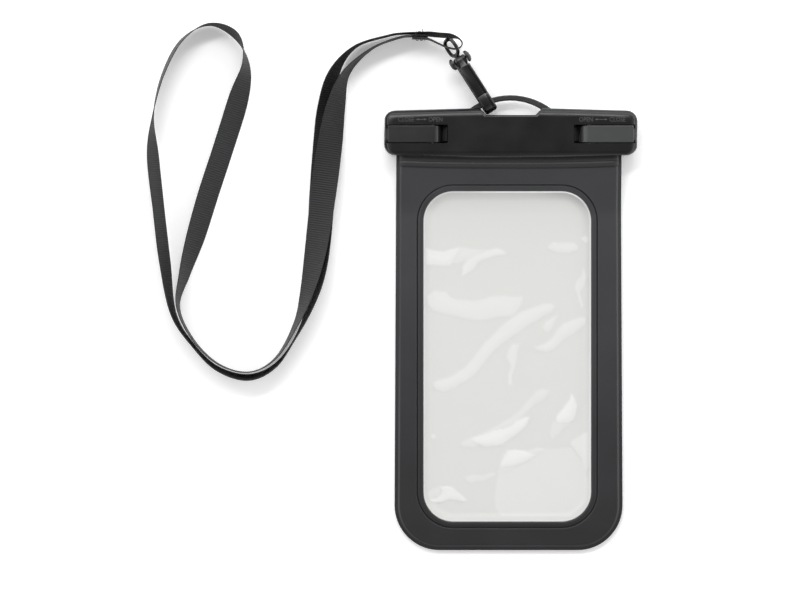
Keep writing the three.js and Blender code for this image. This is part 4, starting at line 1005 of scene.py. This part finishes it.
def wordMesh(text, s):
    # Points, in units of the type, and faces of a word with its thickness
    curve = bpy.data.curves.new("words", "FONT")
    curve.body = text
    curve.size = s["size"]
    curve.extrude = s["height"]
    curve.resolution_u = 3
    holder = bpy.data.objects.new("words", curve)
    bpy.context.scene.collection.objects.link(holder)
    bpy.context.view_layer.update()
    mesh = bpy.data.meshes.new_from_object(holder)
    bpy.data.objects.remove(holder)
    points = np.empty(len(mesh.vertices) * 3)
    mesh.vertices.foreach_get("co", points)
    faces = [list(face.vertices) for face in mesh.polygons]
    bpy.data.meshes.remove(mesh)
    return points.reshape(-1, 3), faces


def arrowMesh(x0, x1, y, s):
    # A line with a head at each end, raised as the words are
    shaft, head, wide = s["arrow"]
    outline = np.array([
        (x0, y), (x0 + head, y + wide), (x0 + head, y + shaft), (x1 - head, y + shaft), (x1 - head, y + wide),
        (x1, y), (x1 - head, y - wide), (x1 - head, y - shaft), (x0 + head, y - shaft), (x0 + head, y - wide),
    ])
    count = len(outline)
    bottom = np.column_stack([outline, np.full(count, -s["height"])])
    top = np.column_stack([outline, np.full(count, s["height"])])
    faces = [list(range(count, 2 * count))[::-1], list(range(count))]
    faces += [[k, (k + 1) % count, (k + 1) % count + count, k + count] for k in range(count)]
    return np.vstack([bottom, top]), faces


def makeWords(s):
    # Word, arrow and word in one piece, from x0 to x1, narrowed and set on the clasp's face
    for name, first, second, x0, x1 in s["places"]:
        left, leftFaces = wordMesh(first, s)
        right, rightFaces = wordMesh(second, s)
        left[:, 0] *= s["narrow"]
        right[:, 0] *= s["narrow"]
        left[:, 0] += x0 - left[:, 0].min()
        right[:, 0] += x1 - right[:, 0].max()
        left[:, 1] += s["y"] - left[:, 1].min()
        right[:, 1] += s["y"] - right[:, 1].min()
        start, end = left[:, 0].max() + s["arrowGap"], right[:, 0].min() - s["arrowGap"]
        arrow, arrowFaces = arrowMesh(start, end, s["y"] + s["capital"] / 2, s)
        points = np.vstack([left, right, arrow])
        points[:, 2] += s["face"]
        faces = leftFaces + [[v + len(left) for v in face] for face in rightFaces]
        faces += [[v + len(left) + len(right) for v in face] for face in arrowFaces]
        piece = addObject(name, points, faces, smooth=False)
        recalculateNormals(piece)
        finishPiece(piece, letterAbs, "pouch")


makeWords(wordSettings)
print("words made")


# Studio: white table, a sky that is bright low down and dim overhead and to the front, and one long
# soft lamp
studioSettings = {
    "tableHalf": 2500,
    "floorColour": "#fbfbfb",
    "floorGlow": 0.22,  # added where the camera sees the floor, so that it photographs white
    "skyOverhead": 0.25,
    "skyLow": 4.2,
    "skyPower": 1.5,
    "skyFront": 0.45,  # share of that light that comes from -Y
    "skyTurn": (-0.7, 0.1),  # Y of the direction between which that share changes to 1
    "keySize": (1.0, 0.15),  # metres, along and across
    "keyDistance": 1.05,
    "keyPower": 5.2,  # watts
    "keyTilt": 36,  # degrees from overhead
    "keyFrom": 108,  # degrees round from +X, where it stands
    "keyAim": (-0.03, 0.01, 0),
}


def makeStudio(s):
    corners = np.array([(-1, -1, 0), (1, -1, 0), (1, 1, 0), (-1, 1, 0)]) * s["tableHalf"]
    floor = addObject("table", corners, [(0, 1, 2, 3)], smooth=False)
    material, tree, shader = newMaterial("paintedTable", {
        "Base Color": toLinear(s["floorColour"]), "Roughness": 0.9, "Specular IOR Level": 0.0,
    })
    seen = addNode(tree, "ShaderNodeLightPath", {}, {})
    glow = addNode(tree, "ShaderNodeMath", {"operation": "MULTIPLY", 1: s["floorGlow"]},
                   {0: (seen, "Is Camera Ray")})
    shader.inputs["Emission Color"].default_value = (1, 1, 1, 1)
    tree.links.new(glow.outputs["Value"], shader.inputs["Emission Strength"])
    floor.data.materials.append(material)
    world = bpy.data.worlds.new("studioSky")
    bpy.context.scene.world = world
    world.use_nodes = True
    tree = world.node_tree
    tree.nodes.clear()
    # radiance = (overhead + (low - overhead) (1 - z)^power) front(y), with x, y, z the direction
    place = addNode(tree, "ShaderNodeTexCoord", {}, {})
    split = addNode(tree, "ShaderNodeSeparateXYZ", {}, {"Vector": (place, "Generated")})
    lowness = addNode(tree, "ShaderNodeMath", {"operation": "SUBTRACT", "use_clamp": True, 0: 1.0},
                      {1: (split, "Z")})
    curve = addNode(tree, "ShaderNodeMath", {"operation": "POWER", 1: s["skyPower"]}, {0: (lowness, "Value")})
    level = addNode(tree, "ShaderNodeMapRange", {"To Min": s["skyOverhead"], "To Max": s["skyLow"]},
                    {"Value": (curve, "Value")})
    turnFrom, turnTo = s["skyTurn"]
    front = addNode(tree, "ShaderNodeMapRange", {
        "From Min": turnFrom, "From Max": turnTo, "To Min": s["skyFront"],
    }, {"Value": (split, "Y")})
    radiance = addNode(tree, "ShaderNodeMath", {"operation": "MULTIPLY"},
                       {0: (level, "Result"), 1: (front, "Result")})
    light = addNode(tree, "ShaderNodeBackground", {"Color": (1, 1, 1, 1)}, {"Strength": (radiance, "Value")})
    plain = addNode(tree, "ShaderNodeBackground", {"Color": (1, 1, 1, 1), "Strength": 1.0}, {})
    ray = addNode(tree, "ShaderNodeLightPath", {}, {})
    mix = addNode(tree, "ShaderNodeMixShader", {}, {
        0: (ray, "Is Camera Ray"), 1: (light, "Background"), 2: (plain, "Background"),
    })
    addNode(tree, "ShaderNodeOutputWorld", {}, {"Surface": (mix, "Shader")})
    key = bpy.data.lights.new("key", "AREA")
    key.shape = "RECTANGLE"
    key.size, key.size_y = s["keySize"]
    key.energy = s["keyPower"]
    lamp = bpy.data.objects.new("key", key)
    bpy.context.scene.collection.objects.link(lamp)
    tilt, turn = math.radians(s["keyTilt"]), math.radians(s["keyFrom"])
    direction = Vector((math.sin(tilt) * math.cos(turn), math.sin(tilt) * math.sin(turn), math.cos(tilt)))
    lamp.rotation_euler = direction.to_track_quat("Z", "Y").to_euler()
    lamp.location = Vector(s["keyAim"]) + direction * s["keyDistance"]
    bpy.context.scene.view_settings.view_transform = "Standard"


makeStudio(studioSettings)
print("studio made")
